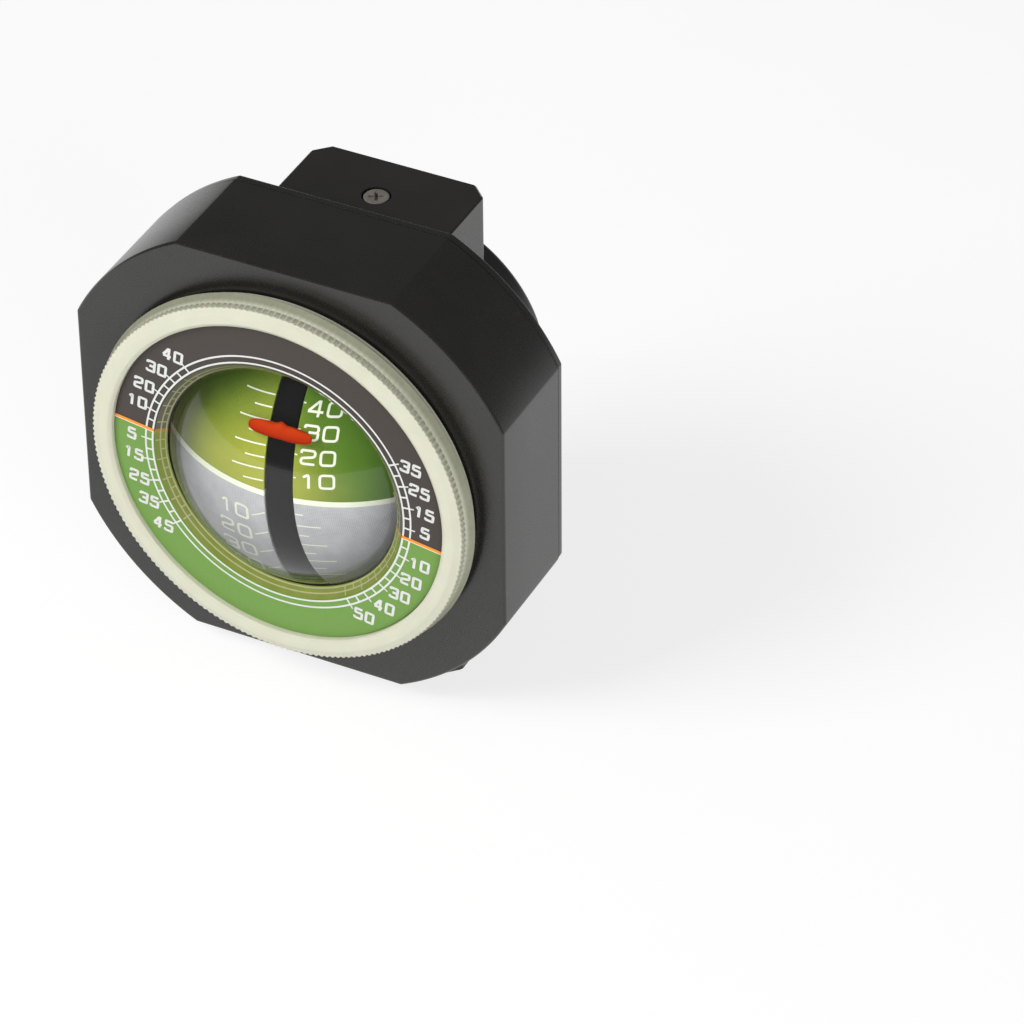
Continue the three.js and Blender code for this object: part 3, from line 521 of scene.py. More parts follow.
CUP_WALL, CUP_RIM = 1.4, -1.15
CUP_INNER, CUP_FLOOR = DRUM_RADIUS - CUP_WALL, DRUM_BACK - CUP_WALL
drum_corners = [[0, CUP_FLOOR], [CUP_INNER, CUP_FLOOR], [CUP_INNER, CUP_RIM],
                [DRUM_RADIUS, CUP_RIM], [DRUM_RADIUS, DRUM_BACK], [0, DRUM_BACK]]
drum_rounding = [0, 0.6, 0.15, 0.15, 1.2, 0]
drum_section = soften(drum_corners, drum_rounding, steps=6)
print("points in the drum's section:", len(drum_section), "its back at", round(DRUM_BACK, 2), "mm")

# %% [markdown]
# ## Hinge lug
# The lug under the drum is moulded with it. It is a block that ends in a half cylinder round the
# hinge's axis, so its outline is drawn from the side and carried along X. Its upper end has to lie in
# the drum's wall, which is round, and so each row is pulled down on the middle of the wall.

# %% Outlines about the hinge
HINGE = (sum(head_span("hinge_bolt")) / 2)[1:]  # y and z of the bolt's axis
EDGE = 0.4  # the chamfer of lug, plate and ears


def tongue(radius, straight_end, upward, steps=24):
    """Outline in (y, z) about the hinge: a half circle r (cos a, sin a) and two straight sides up or
    down to straight_end."""
    a = np.linspace(0, np.pi, steps) + (0 if upward else np.pi)
    ends = [[radius * math.cos(a[-1]), straight_end], [radius * math.cos(a[0]), straight_end]]
    return np.vstack([radius * np.stack([np.cos(a), np.sin(a)], -1), ends])


def refine(outline, spacing):
    """A closed outline with more points: linear between its corners, at most one spacing apart."""
    closed = np.vstack([outline, outline[:1]])
    along = np.concatenate([[0], np.cumsum(np.linalg.norm(np.diff(closed, axis=0), axis=1))])
    extra = np.arange(0, along[-1], spacing)
    gap = np.abs(extra[:, None] - along[None]).min(1)
    at = np.sort(np.concatenate([along, extra[gap > spacing / 4]]))
    return np.stack([np.interp(at, along, closed[:, i]) for i in (0, 1)], -1)


def inset(outline, distance):
    """A closed outline (first point repeated last) moved inwards: p - d (m + n) / (1 + m . n), with the
    unit normals m and n of the sides before and after the point p."""
    ring = outline[:-1]
    side = np.roll(ring, -1, axis=0) - ring
    normal = np.stack([side[:, 1], -side[:, 0]], -1) / np.linalg.norm(side, axis=1)[:, None]
    before = np.roll(normal, 1, axis=0)
    moved = ring - distance * (before + normal) / (1 + (before * normal).sum(1))[:, None]
    return np.vstack([moved, moved[:1]])


def across(outline, x):
    """A row of the surface at x: (x, y, z) with the outline's two values as y and z about the hinge."""
    return np.stack([np.full(len(outline), x), outline[:, 0] + HINGE[0], outline[:, 1] + HINGE[1]], -1)


print("hinge axis at y, z", HINGE.round(2))

# %% [markdown]
# ## Drum with its lug
# On the real part drum and lug are one moulding. Two closed surfaces that run into each other look
# the same and keep each grid simple, so the lug's grid is only joined to the drum's as a second part.

# %% Drum and lug surface
LUG_HALF, LUG_RADIUS, LUG_TOP = 14.3, 5.9, 14.0
LUG_MIDDLE = (0, 4)  # y and z of the middle of its ends, from the hinge
lug = refine(tongue(LUG_RADIUS, LUG_TOP, False), spacing=1.0)
lug_chamfer = inset(lug, EDGE)
lug_middle = np.zeros_like(lug) + LUG_MIDDLE
stations = [(lug_middle, -LUG_HALF), (lug_chamfer, -LUG_HALF)]
stations += [(lug, x) for x in np.linspace(EDGE - LUG_HALF, LUG_HALF - EDGE, 31)]
stations += [(lug_chamfer, LUG_HALF), (lug_middle, LUG_HALF)]
lug_rows = np.array([across(outline, x) for outline, x in stations])
wall_middle = -np.sqrt((DRUM_RADIUS - CUP_WALL / 2) ** 2 - lug_rows[..., 0] ** 2)
above_hinge = np.clip((lug_rows[..., 2] - HINGE[1]) / LUG_TOP, 0, 1)
lug_rows[..., 2] -= above_hinge * (HINGE[1] + LUG_TOP - wall_middle)
drum_part = together(lathe(drum_section, turns=160, close=False), grid(lug_rows))
drum = make_piece("drum_surface", drum_part, "head", ["capsule_cup"])
wear(drum, drum_plastic)

# %% [markdown]
# ## Upper block
# The block on the drum is a plain moulding with cut rear corners and a thin chamfer round its top.
# Its outline is written about the screw's axis, so the countersunk hole is a circle in the same grid.
# Its underside follows the round of the drum.

# %% Upper block surface
BLOCK_CUT, BLOCK_FILLET, BLOCK_EDGE = 2.4, 0.6, 0.3
BLOCK_SEAT = DRUM_RADIUS + 0.3
COUNTERSINK = ((2.35, 0.0), (2.23, 0.1), (2.23, 0.6), (1.3, 1.5), (0.0, 1.5))  # radius and depth
block_low, block_high = head_span("upper_block")
screw_low, screw_high = head_span("upper_block_screw")
BLOCK_TOP, SCREW_TOP = block_high[2], screw_high[2]
SCREW_Y, SCREW_RADIUS = (screw_low[1] + screw_high[1]) / 2, (screw_high[0] - screw_low[0]) / 2
x, front, back = block_high[0], block_low[1] - SCREW_Y, block_high[1] - SCREW_Y
block_corners = [[-x, front], [x, front], [x, back - BLOCK_CUT], [x - BLOCK_CUT, back],
                 [BLOCK_CUT - x, back], [-x, back - BLOCK_CUT]]
block_plan = refine(soften(block_corners, BLOCK_FILLET), spacing=0.7)


def at_height(outline, z, y):
    """A row of the surface: (x, y, z) with the outline's two values as x and y."""
    return np.stack([outline[:, 0], outline[:, 1] + y, np.full(len(outline), z)], -1)


def saddle(outline, radius, y):
    """A row on the drum: z = sqrt(radius^2 - x^2)."""
    z = np.sqrt(np.maximum(radius**2 - outline[:, 0] ** 2, 0))
    return np.stack([outline[:, 0], outline[:, 1] + y, z], -1)


rows = [saddle(block_plan * share, BLOCK_SEAT, SCREW_Y) for share in (0, 0.5, 1)]
rows += [at_height(block_plan, BLOCK_TOP - BLOCK_EDGE, SCREW_Y),
         at_height(inset(block_plan, BLOCK_EDGE), BLOCK_TOP, SCREW_Y)]
for radius, depth in COUNTERSINK:
    rows.append(at_height(circle_at(block_plan, radius), BLOCK_TOP - depth, SCREW_Y))
upper = make_piece("upper_block_surface", grid(np.array(rows)), "head", ["upper_block"])
wear(upper, block_plastic)

# %% [markdown]
# ## Cross-head screws
# A cross recess is pressed into each head. The head is a fine disc of rings whose height falls inside
# the cross: the arms are 0.5 mm wide, and a short slope runs from their edges down to the floor. That
# needs no boolean cut, and the cross stays sharp in close views.

# %% Screws
RECESS_REACH, RECESS_HALF, RECESS_DEPTH, RECESS_SLOPE = 1.15, 0.25, 0.75, 0.12
RIM_BREAK = 0.12
RIM_FRONT, RIM_BACK, CONE_BACK = -0.1, -0.3, -1.2


def screw_part(radius, shank, length, turns=96, rings=30):
    """Countersunk screw with its face at z = 0. Height in the cross = -depth * min(1, distance to its
    edge / slope), with the distance min(reach - |u|, half - |v|) for the arm along u."""
    t = np.linspace(0, 2 * np.pi, turns + 1)
    r = np.linspace(0, radius - RIM_BREAK, rings)[:, None]
    x, y = r * np.cos(t), r * np.sin(t)
    arms = [np.minimum(RECESS_REACH - np.abs(u), RECESS_HALF - np.abs(v)) for u, v in ((x, y), (y, x))]
    z = -RECESS_DEPTH * np.clip(np.maximum(*arms) / RECESS_SLOPE, 0, 1)
    under = [(radius, RIM_FRONT), (radius, RIM_BACK), (shank, CONE_BACK), (shank, -length), (0, -length)]
    rest = np.array([np.stack([a * np.cos(t), a * np.sin(t), b + 0 * t], -1) for a, b in under])
    return np.concatenate([np.stack([x, y, z], -1), rest])


def stood(rows, turn, place):
    """Turns a screw's rows with a 3 x 3 matrix and moves them: R p + place."""
    return grid(rows @ np.array(Matrix.Rotation(*turn)).T[:3, :3] + place)


def add_screw(node, turn, place, radius, shank, length):
    """A countersunk screw in place of its CAD node: the screw part, stood in its place."""
    part = stood(screw_part(radius, shank, length), turn, place)
    piece = make_piece(node + "_surface", part, "head", [node], smooth_angle=40)
    return wear(piece, dark_steel)


CROSS_TURN = 28  # degrees that the cross of the upper screw is turned
facing_up, facing_back = (math.radians(CROSS_TURN), 3, "Z"), (math.radians(-90), 3, "X")
top_place = (0, SCREW_Y, SCREW_TOP)
add_screw("upper_block_screw", facing_up, top_place, SCREW_RADIUS, shank=0.9, length=6.8)
for number in range(1, 5):
    low, high = head_span(f"case_screw_{number}")
    place = ((low[0] + high[0]) / 2, high[1], (low[2] + high[2]) / 2)
    add_screw(f"case_screw_{number}", facing_back, place, (high[0] - low[0]) / 2, shank=0.95, length=9.0)

# %% [markdown]
# ## Base plate and its ears
# The base plate stays on the dashboard. Its two ears hold the clamping bolt on which the head tilts.
# Plate and ears are plain convex outlines with a small chamfer, so a few rows describe each. One ear
# has a round pocket for the bolt's head, the other a hexagonal one that keeps the nut from turning.

# %% Plate rows
PLATE_THICKNESS, PLATE_CUT, PLATE_FILLET = 2.7, 2.3, 0.7
base_low, base_high = head_span("base_plate")
plate_y = (base_low[1] + base_high[1]) / 2
x, y = base_high[0], (base_high[1] - base_low[1]) / 2
cut_x, cut_y = x - PLATE_CUT, y - PLATE_CUT
plate_corners = [[-cut_x, -y], [cut_x, -y], [x, -cut_y], [x, cut_y],
                 [cut_x, y], [-cut_x, y], [-x, cut_y], [-x, -cut_y]]
plate = refine(soften(plate_corners, PLATE_FILLET), spacing=2.0)
plate_chamfer = inset(plate, EDGE)
floor_z, top_z = base_low[2], base_low[2] + PLATE_THICKNESS
plate_rows = [at_height(outline, z, plate_y) for outline, z in (
    (plate * 0, floor_z), (plate_chamfer, floor_z), (plate, floor_z + EDGE),
    (plate, top_z - EDGE), (plate_chamfer, top_z), (plate * 0, top_z))]
print("base plate", round(2 * x, 2), "x", round(2 * y, 2), "mm")

# %% [markdown]
# ## Ears
# Each ear is an upright tongue with a bore for the bolt. Its rows go along the outline from the inner
# face to the outer one, down into the pocket and back through the bore, so bore and pocket are part
# of one closed surface and no cutting is needed.

# %% Ears and base surface
EAR_INNER, EAR_OUTER, EAR_RADIUS, EAR_BORE = 15.1, 20.6, 6.0, 1.8
EAR_ROOT = 0.5  # the ears reach this far into the plate
HEAD_POCKET_RADIUS, HEAD_POCKET_DEPTH = 3.05, 3.3
NUT_POCKET_WIDTH, NUT_POCKET_DEPTH = 6.1, 2.7


def hexagon_at(outline, width):
    """Points of a hexagon at an outline's angles: (width / 2) / cos(30 - |a|), with a in degrees from
    the nearest corner."""
    a = np.arctan2(outline[:, 1], outline[:, 0])
    from_corner = np.abs((a + np.pi / 6) % (np.pi / 3) - np.pi / 6)
    reach = width / 2 / np.cos(np.pi / 6 - from_corner)
    return reach[:, None] * np.stack([np.cos(a), np.sin(a)], -1)


def ear_part(inner, outer, pocket, pocket_depth):
    """An ear with a bore along X and a pocket in its outer face: rows of the outline from the inner to
    the outer face, the pocket's rows down to its floor, and the bore's rows back to the start."""
    outline = refine(tongue(EAR_RADIUS, top_z - EAR_ROOT - HINGE[1], True), spacing=0.8)
    chamfer, mouth, hole = inset(outline, EDGE), pocket(outline), circle_at(outline, EAR_BORE)
    way = 1 if outer > inner else -1
    pocket_floor = outer - way * pocket_depth
    rows = [(chamfer, inner), (outline, inner + way * EDGE), (outline, outer - way * EDGE), (chamfer, outer),
            (mouth, outer), (mouth, pocket_floor), (hole, pocket_floor), (hole, inner), (chamfer, inner)]
    return grid(np.array([across(outline, x) for outline, x in rows]))


right_ear = ear_part(EAR_INNER, EAR_OUTER, lambda o: circle_at(o, HEAD_POCKET_RADIUS), HEAD_POCKET_DEPTH)
left_ear = ear_part(-EAR_INNER, -EAR_OUTER, lambda o: hexagon_at(o, NUT_POCKET_WIDTH), NUT_POCKET_DEPTH)
base_part = together(grid(np.array(plate_rows)), right_ear, left_ear)
foot = make_piece("base_plate_surface", base_part, "base", ["base_plate"])
wear(foot, base_plastic)

# %% [markdown]
# ## Hinge bolt
# The bolt is a socket-head screw in the right ear. It is round outside and has a six-sided socket, so
# its rows are circles and hexagons with points at the same angles, carried along X from the end of
# the thread to the head and down into the socket.

# %% Bolt surface
BOLT_RADIUS, BOLT_HEAD_RADIUS, BOLT_HEAD_HEIGHT, BOLT_BREAK = 1.5, 2.75, 3, 0.25
SOCKET_WIDTH, SOCKET_DEPTH = 2.5, 1.5
SOCKET_FLARE, SOCKET_BREAK, SOCKET_CONE = 1.06, 0.1, 0.4
THREAD_GAP, THREAD_BREAK, THREAD_TAPER = 0.3, 0.15, 0.3  # behind the ear's face, and the end's chamfer
thread_end = THREAD_GAP - EAR_OUTER
a = np.linspace(0, 2 * np.pi, 97)
rim = np.stack([np.cos(a), np.sin(a)], -1)
socket_rim = hexagon_at(rim, SOCKET_WIDTH)
bolt_rows = [
    (rim * 0, thread_end), (rim * (BOLT_RADIUS - THREAD_BREAK), thread_end),
    (rim * BOLT_RADIUS, thread_end + THREAD_TAPER),
    (rim * BOLT_RADIUS, EAR_OUTER - BOLT_HEAD_HEIGHT), (rim * BOLT_HEAD_RADIUS, EAR_OUTER - BOLT_HEAD_HEIGHT),
    (rim * BOLT_HEAD_RADIUS, EAR_OUTER - BOLT_BREAK), (rim * (BOLT_HEAD_RADIUS - BOLT_BREAK), EAR_OUTER),
    (socket_rim * SOCKET_FLARE, EAR_OUTER), (socket_rim, EAR_OUTER - SOCKET_BREAK),
    (socket_rim, EAR_OUTER - SOCKET_DEPTH), (rim * 0, EAR_OUTER - SOCKET_DEPTH - SOCKET_CONE)]
bolt_part = grid(np.array([across(outline, x) for outline, x in bolt_rows]))
bolt = make_piece("hinge_bolt_surface", bolt_part, "base", ["hinge_bolt"])
wear(bolt, dark_steel)

# %% [markdown]
# ## Bezel
# The bezel is a cream plastic ring with a fine knurl to grip. In real life the knurl is moulded: about
# two hundred small round ribs. The section is turned about the axis, and in the rows of the knurl the
# radius rises and falls with a rounded wave, so ribs and ring are one surface.

# %% Bezel section
BEZEL_INNER = half_width("dial_ring") + 0.1
FACE_INNER, FACE_OUTER = BEZEL_INNER + 0.6, BEZEL_INNER + 2.0
SHOULDER_RADIUS, SHOULDER = FACE_OUTER + 0.9, BEZEL_FRONT + 0.4
KNURL_BACK = SHOULDER + 1.2
RING_INNER, RING_TOP, RING_BACK = COLLAR_RADIUS + 0.3, -2.25, -0.6  # the part that turns on the collar
SEAT_RADIUS = 26.1  # the step that the dial lies on
FOOT_TOP, FOOT_INNER, FOOT_BACK = -1.7, BEZEL_FOOT - 0.9, -0.35  # a dark gap is left over the housing
FLANK_START = 0.25  # the smooth flank starts this far below the knurl
FLANK_SHARE = FLANK_START / (FOOT_TOP - KNURL_BACK)
bezel_corners = np.array([  # radius, depth, rounding
    [RING_INNER, RING_BACK, 0.05],
    [RING_INNER, RING_TOP, 0.05],
    [SEAT_RADIUS, RING_TOP, 0.05],
    [SEAT_RADIUS, DIAL_BACK, 0.05],
    [BEZEL_INNER, DIAL_BACK, 0.05],
    [BEZEL_INNER, SHOULDER, 0.3],
    [FACE_INNER, BEZEL_FRONT, 0.55],
    [FACE_OUTER, BEZEL_FRONT, 0.9],
    [SHOULDER_RADIUS, SHOULDER, 0.6],
    [SHOULDER_RADIUS + 0.12, SHOULDER + 0.05, 0.1],
    [SHOULDER_RADIUS + 0.16, KNURL_BACK - 0.05, 0.1],
    [SHOULDER_RADIUS, KNURL_BACK, 0.1],
    [SHOULDER_RADIUS + FLANK_SHARE * (BEZEL_FOOT - SHOULDER_RADIUS), KNURL_BACK + FLANK_START, 0.05],
    [BEZEL_FOOT, FOOT_TOP, 0.2],
    [FOOT_INNER, FOOT_TOP + 0.2, 0.05],
    [FOOT_INNER, FOOT_BACK, 0.05],
    [BEZEL_INNER, FOOT_BACK, 0.05],
    [BEZEL_INNER, RING_BACK, 0.05],
])
section = soften(bezel_corners[:, :2], bezel_corners[:, 2], steps=3)
print("points in the bezel's section:", len(section))

# %% [markdown]
# ## Knurl
# Each rib has six points round the axis, the fewest that still look round. A bump in the material
# would be cheaper, but the ribs show on the bezel's outline, and only real geometry changes that.

# %% Bezel surface
TEETH, PER_TOOTH = 198, 6
RIB_HEIGHT, RIB_DEPTH = 0.28, 0.26  # of a rib over the section, and of the groove beside it
t = np.linspace(0, 2 * np.pi, TEETH * PER_TOOTH + 1)
r, y = section[:, :1], section[:, 1:]
groove = np.cos(t * TEETH / 2) ** 2
inside_knurl = (r > SHOULDER_RADIUS + 0.03) & (y > SHOULDER - 0.1) & (y < KNURL_BACK + 0.1)
r = r + inside_knurl * (RIB_HEIGHT - RIB_DEPTH * groove)
surface = np.stack([r * np.cos(t), y + 0 * t, r * np.sin(t)], -1)
bezel_part = grid(np.concatenate([surface, surface[:1]]))
bezel = make_piece("bezel_surface", bezel_part, "bezel", ["bezel_ring"], smooth_angle=40)

# %% [markdown]
# ## Cream plastic of the bezel
# The plastic is a pale cream and lets a little light in, so it gets a weak subsurface. The flank is
# given a darker, greyer colour than the face, a painted shade, and so the colour goes over from the
# face's to the flank's by the distance from the axis.

# %% Bezel finish
def split(tree, vector):
    """The x, y and z of a vector."""
    node = tree.nodes.new("ShaderNodeSeparateXYZ")
    put(tree, node.inputs[0], vector)
    return node.outputs


FLANK_SHADE_BLEND = (SHOULDER_RADIUS + 0.1, SHOULDER_RADIUS + 0.6)  # radii from the face's colour to the flank's
LIGHT_SHARE, LIGHT_DEPTH = 0.12, 0.0008  # of light that goes in, and how deep, in metres
material, tree, shader, place = start("cream_bezel_plastic", centre=(0, BEZEL_FRONT, 0), Roughness=0.36)
px, _, pz = split(tree, place)
squares = calc(tree, "ADD", calc(tree, "MULTIPLY", px, px), calc(tree, "MULTIPLY", pz, pz))
radius = calc(tree, "SQRT", squares)
side = spread(tree, radius, *FLANK_SHADE_BLEND, 0, 1, True)
face = mix(tree, noise(tree, place, 0.25, 3), colour("ccccb8"), colour("d6d6c2"))
# Painted shade: the flank's colour is darker and greyer than the face's.
shaded_flank = mix(tree, noise(tree, place, 0.9, 3), colour("8d8e79"), colour("a0a18c"))
put(tree, shader.inputs["Base Color"], mix(tree, side, face, shaded_flank))
shader.inputs["Subsurface Weight"].default_value = LIGHT_SHARE
shader.inputs["Subsurface Scale"].default_value = LIGHT_DEPTH
bump(tree, shader, noise(tree, place, 4, 3), 0.12, GRAIN_HEIGHT)
wear(bezel, material)
print("knurl of", TEETH, "ribs,", round(2 * math.pi * (SHOULDER_RADIUS + RIB_HEIGHT) / TEETH, 2), "mm apart")

# %% [markdown]
# ## Dial ring
# The dial is a flat printed ring. Its upper half is a warm grey and its lower half green; an orange
# line marks the zero on each side. The ring turns with the bezel, so the colours are laid out in the
# dial's own turned frame, which stands 8.2 degrees round at rest.

# %% Dial surface and its print colours
DIAL_TURN = 8.2
DIAL_INNER, DIAL_OUTER, DIAL_ROUNDING = 20.5, half_width("dial_ring"), 0.04
dial_corners = [[DIAL_INNER, DIAL_BACK], [DIAL_INNER, DIAL_FACE],
                [DIAL_OUTER, DIAL_FACE], [DIAL_OUTER, DIAL_BACK]]
dial_part = lathe(soften(dial_corners, DIAL_ROUNDING, steps=2), turns=360)
dial = make_piece("dial_surface", dial_part, "bezel", ["dial_ring"])
on_face, dial_way = (0, DIAL_FACE, 0), (0, DIAL_TURN, 0)
material, tree, shader, place = start("dial_print", on_face, dial_way, Roughness=0.4, Specular_IOR_Level=0.3)
pz = split(tree, place)[2]
stipple = noise(tree, place, 2.2, 3, 0.7)
upper_colour = mix(tree, stipple, colour("3d3733"), colour("47413c"))
lower_colour = mix(tree, stipple, colour("699142"), colour("759c4c"))
halves = mix(tree, calc(tree, "GREATER_THAN", pz, 0.0), lower_colour, upper_colour)
put(tree, shader.inputs["Base Color"], halves)
put(tree, shader.inputs["Roughness"], spread(tree, stipple, *NOISE_RANGE, 0.34, 0.44))
bump(tree, shader, stipple, strength=0.05, distance=0.01)
wear(dial, material)

# %% [markdown]
# ## Figures and lines
# The figures are screen printed in white. Each figure is a few polylines with rounded corners, and
# each polyline becomes a narrow ribbon. The same ribbons are laid flat on the dial and, with another
# placing function, round the ball. A text object would bring a font whose figures are too round.

# %% Stroke figures
FIGURES = {
    "0": [[(0, 0), (1, 0), (1, 1), (0, 1), (0, 0)]],
    "1": [[(0.22, 0.74), (0.62, 1), (0.62, -0.1)]],
    "2": [[(0, 0.76), (0, 1), (1, 1), (1, 0.56), (0, 0.4), (0, 0), (1, 0)]],
    "3": [[(0, 0.8), (0, 1), (1, 1), (1, 0.52), (0.3, 0.52)], [(1, 0.52), (1, 0), (0, 0), (0, 0.2)]],
    "4": [[(0.74, -0.1), (0.74, 1.1)], [(0.68, 1.04), (0, 0.3)], [(-0.05, 0.26), (1.08, 0.26)]],
    "5": [[(1, 1), (0.05, 1), (0.05, 0.58), (1, 0.58), (1, 0), (0, 0), (0, 0.2)]],
}
LAYER = 0.006  # lines that cross lie this much above each other, in mm


def ribbon(line, width, layer=0):
    """Left and right edges of a polyline: p +- w/2 (m + n) / (1 + m . n), m and n its sides' normals.
    A line that ends where it starts is joined there. The third value is the height, layer x 0.006."""
    line = np.asarray(line, float)
    side = np.diff(line, axis=0)
    normal = np.stack([-side[:, 1], side[:, 0]], -1) / np.linalg.norm(side, axis=1)[:, None]
    closed = np.allclose(line[0], line[-1])
    before = np.vstack([normal[-1:] if closed else normal[:1], normal])
    after = np.vstack([normal, normal[:1] if closed else normal[-1:]])
    offset = width / 2 * (before + after) / (1 + (before * after).sum(1))[:, None]
    edges = np.stack([line - offset, line + offset], 1)
    return np.concatenate([edges, np.full(edges.shape[:2] + (1,), layer * LAYER)], -1)


print("figures drawn:", " ".join(FIGURES), "with", sum(len(lines) for lines in FIGURES.values()), "lines")

# %% [markdown]
# ## Numbers
# A number is its figures side by side, each scaled from a unit square to its width and height and
# rounded at the corners. The strokes have the same width at any size, so the size of the square is
# the figure's less one stroke.

# %% Numbers as ribbons
def rounded_line(points, radius):
    """A polyline with rounded corners; a closed one starts in the middle of its first side."""
    points = np.asarray(points, float)
    if np.allclose(points[0], points[-1]):
        points = np.vstack([(points[0] + points[1]) / 2, points[1:], (points[0] + points[1]) / 2])
    return soften(points, radius, steps=5, closed=False)


def number_ribbons(text, centre, width, height, pitch, stroke, fillet):
    """Ribbons of a number: each figure's points (u, v) go to centre + ((u - 1/2) w + shift, (v - 1/2) h)."""
    made = []
    for place, figure in enumerate(text):
        shift = (place - (len(text) - 1) / 2) * pitch
        for layer, line in enumerate(FIGURES[figure]):
            points = (np.array(line) - 0.5) * [width - stroke, height - stroke] + [shift, 0] + centre
            made.append(ribbon(rounded_line(points, fillet), stroke, layer))
    return made


def laid(ribbons, place):
    """Ribbons as (points, quads), each (n, 2, 3) array of flat points sent through place(u, v, height)."""
    return together(*[grid(place(r[..., 0], r[..., 1], r[..., 2])) for r in ribbons])


print("the number 40 takes", len(number_ribbons("40", (0, 0), 1.6, 2.2, 1.85, 0.44, 0.15)), "ribbons")

# %% [markdown]
# ## Ladder of the dial
# Two thin circles with a rung every five degrees make the ladder round the dome. All lines are drawn
# flat, in the dial's own frame, and then turned with it and laid 0.03 mm above its face, as ink is.

# %% Ladder
CIRCLE_INNER, CIRCLE_OUTER, LINE = 20.78, 21.9, 0.3
INK = 0.03
turn = math.radians(DIAL_TURN)


def on_dial(u, v, height, lift=INK):
    """Flat dial point (u right, v up) to the head frame: (u cos a + v sin a, y, v cos a - u sin a)."""
    x, z = u * math.cos(turn) + v * math.sin(turn), v * math.cos(turn) - u * math.sin(turn)
    return np.stack([x, DIAL_FACE - lift - height, z], -1)


def arc_line(radius, start_angle, end_angle, count=240):
    """Points of an arc: radius (cos a, sin a)."""
    a = np.radians(np.linspace(start_angle, end_angle, count))
    return radius * np.stack([np.cos(a), np.sin(a)], -1)


def spoke(angle, inner, outer):
    """A line from the inner to the outer radius: r (cos a, sin a)."""
    a = math.radians(angle)
    return np.array([[inner * math.cos(a), inner * math.sin(a)], [outer * math.cos(a), outer * math.sin(a)]])


marks = [ribbon(arc_line(radius, 0, 360), LINE) for radius in (CIRCLE_INNER, CIRCLE_OUTER)]
rungs = [a for a in [180 - a for a in range(-45, 45, 5)] + list(range(-50, 40, 5)) if a not in (0, 180)]
marks += [ribbon(spoke(a, CIRCLE_INNER, CIRCLE_OUTER), LINE, 1) for a in rungs]
print("rungs of the ladder:", len(rungs))

# %% [markdown]
# ## Figures of the dial
# A short tick leads from the ladder to each figure. The figures stand upright in the dial's own frame,
# at the angles where the photographed dial has them, which differ a little from the angles that they
# name. So the angle of each is written beside its name.

# %% Dial marks
LABEL_RADIUS, TICK, TICK_WIDTH = 24.25, 0.75, LINE * 0.8
DIAL_FIGURE = (1.6, 2.2, 1.85, 0.44, 0.15)  # width, height, pitch, stroke, fillet
LEFT_LABELS = {40: 38.9, 30: 28.8, 20: 18.7, 10: 10.1,
               -5: -5.1, -15: -13.6, -25: -23.7, -35: -33.4, -45: -43.8}
RIGHT_LABELS = {35: 32.4, 25: 22.9, 15: 14.1, 5: 5.5,
                -10: -9.2, -20: -18.1, -30: -27.1, -40: -36.7, -50: -47.2}
for labels, side in ((LEFT_LABELS, -1), (RIGHT_LABELS, 1)):
    for angle, middle in labels.items():
        a = math.radians(middle)
        centre = (side * LABEL_RADIUS * math.cos(a), LABEL_RADIUS * math.sin(a))
        marks += number_ribbons(str(abs(angle)), centre, *DIAL_FIGURE)
        tick_angle = angle if side > 0 else 180 - angle
        marks.append(ribbon(spoke(tick_angle, CIRCLE_OUTER, CIRCLE_OUTER + TICK), TICK_WIDTH, 2))
dial_marks = make_piece("dial_marks", laid(marks, on_dial), "bezel", outward=False)

# %% [markdown]
# ## Ink
# Printed ink has an even colour with the faintest clouds, and no relief of its own. One function
# makes each of these even colours: the white ink of the dial here, then the painted reflection of the
# ladder on the bevel and the figures of the ball.

# %% White ink
def ink(name, dark, light, scale, centre=(0, DIAL_FACE, 0), **values):
    """Print colour, and the painted reflection of the ladder on the bevel: colour = mix of two close colours
    over noise.
    """
    material, tree, shader, place = start(name, centre, Roughness=0.5, **values)
    tone = mix(tree, noise(tree, place, scale, 3), colour(dark), colour(light))
    put(tree, shader.inputs["Base Color"], tone)
    return material


wear(dial_marks, ink("white_ink", "d2d3cf", "e6e6e2", 3))
print("ribbons of the dial:", len(marks))

# %% [markdown]
# ## Zero lines
# An orange line on each side stands for zero degrees, with a pale edge below it. It is a ribbon as
# the white lines are, wider and laid above them. Its two colours are parted by the height in the
# dial's own frame.

# %% Zero lines
ZERO_WIDTH, ZERO_START = 0.62, CIRCLE_INNER - 0.15
PALE_BELOW = -0.17
zero_lines = [ribbon([[s * ZERO_START, 0.0], [s * DIAL_OUTER, 0.0]], ZERO_WIDTH) for s in (-1, 1)]
zero_part = laid(zero_lines, lambda u, v, height: on_dial(u, v, height, 2 * INK))
zero = make_piece("dial_zero_lines", zero_part, "bezel", outward=False)
material, tree, shader, place = start("orange_ink", on_face, dial_way, Roughness=0.45)
pz = split(tree, place)[2]
warm = mix(tree, noise(tree, place, 2, 3), colour("f0861a"), colour("f79a2c"))
two_tone = mix(tree, calc(tree, "LESS_THAN", pz, PALE_BELOW), warm, colour("e8dfc0"))
put(tree, shader.inputs["Base Color"], two_tone)
wear(zero, material)
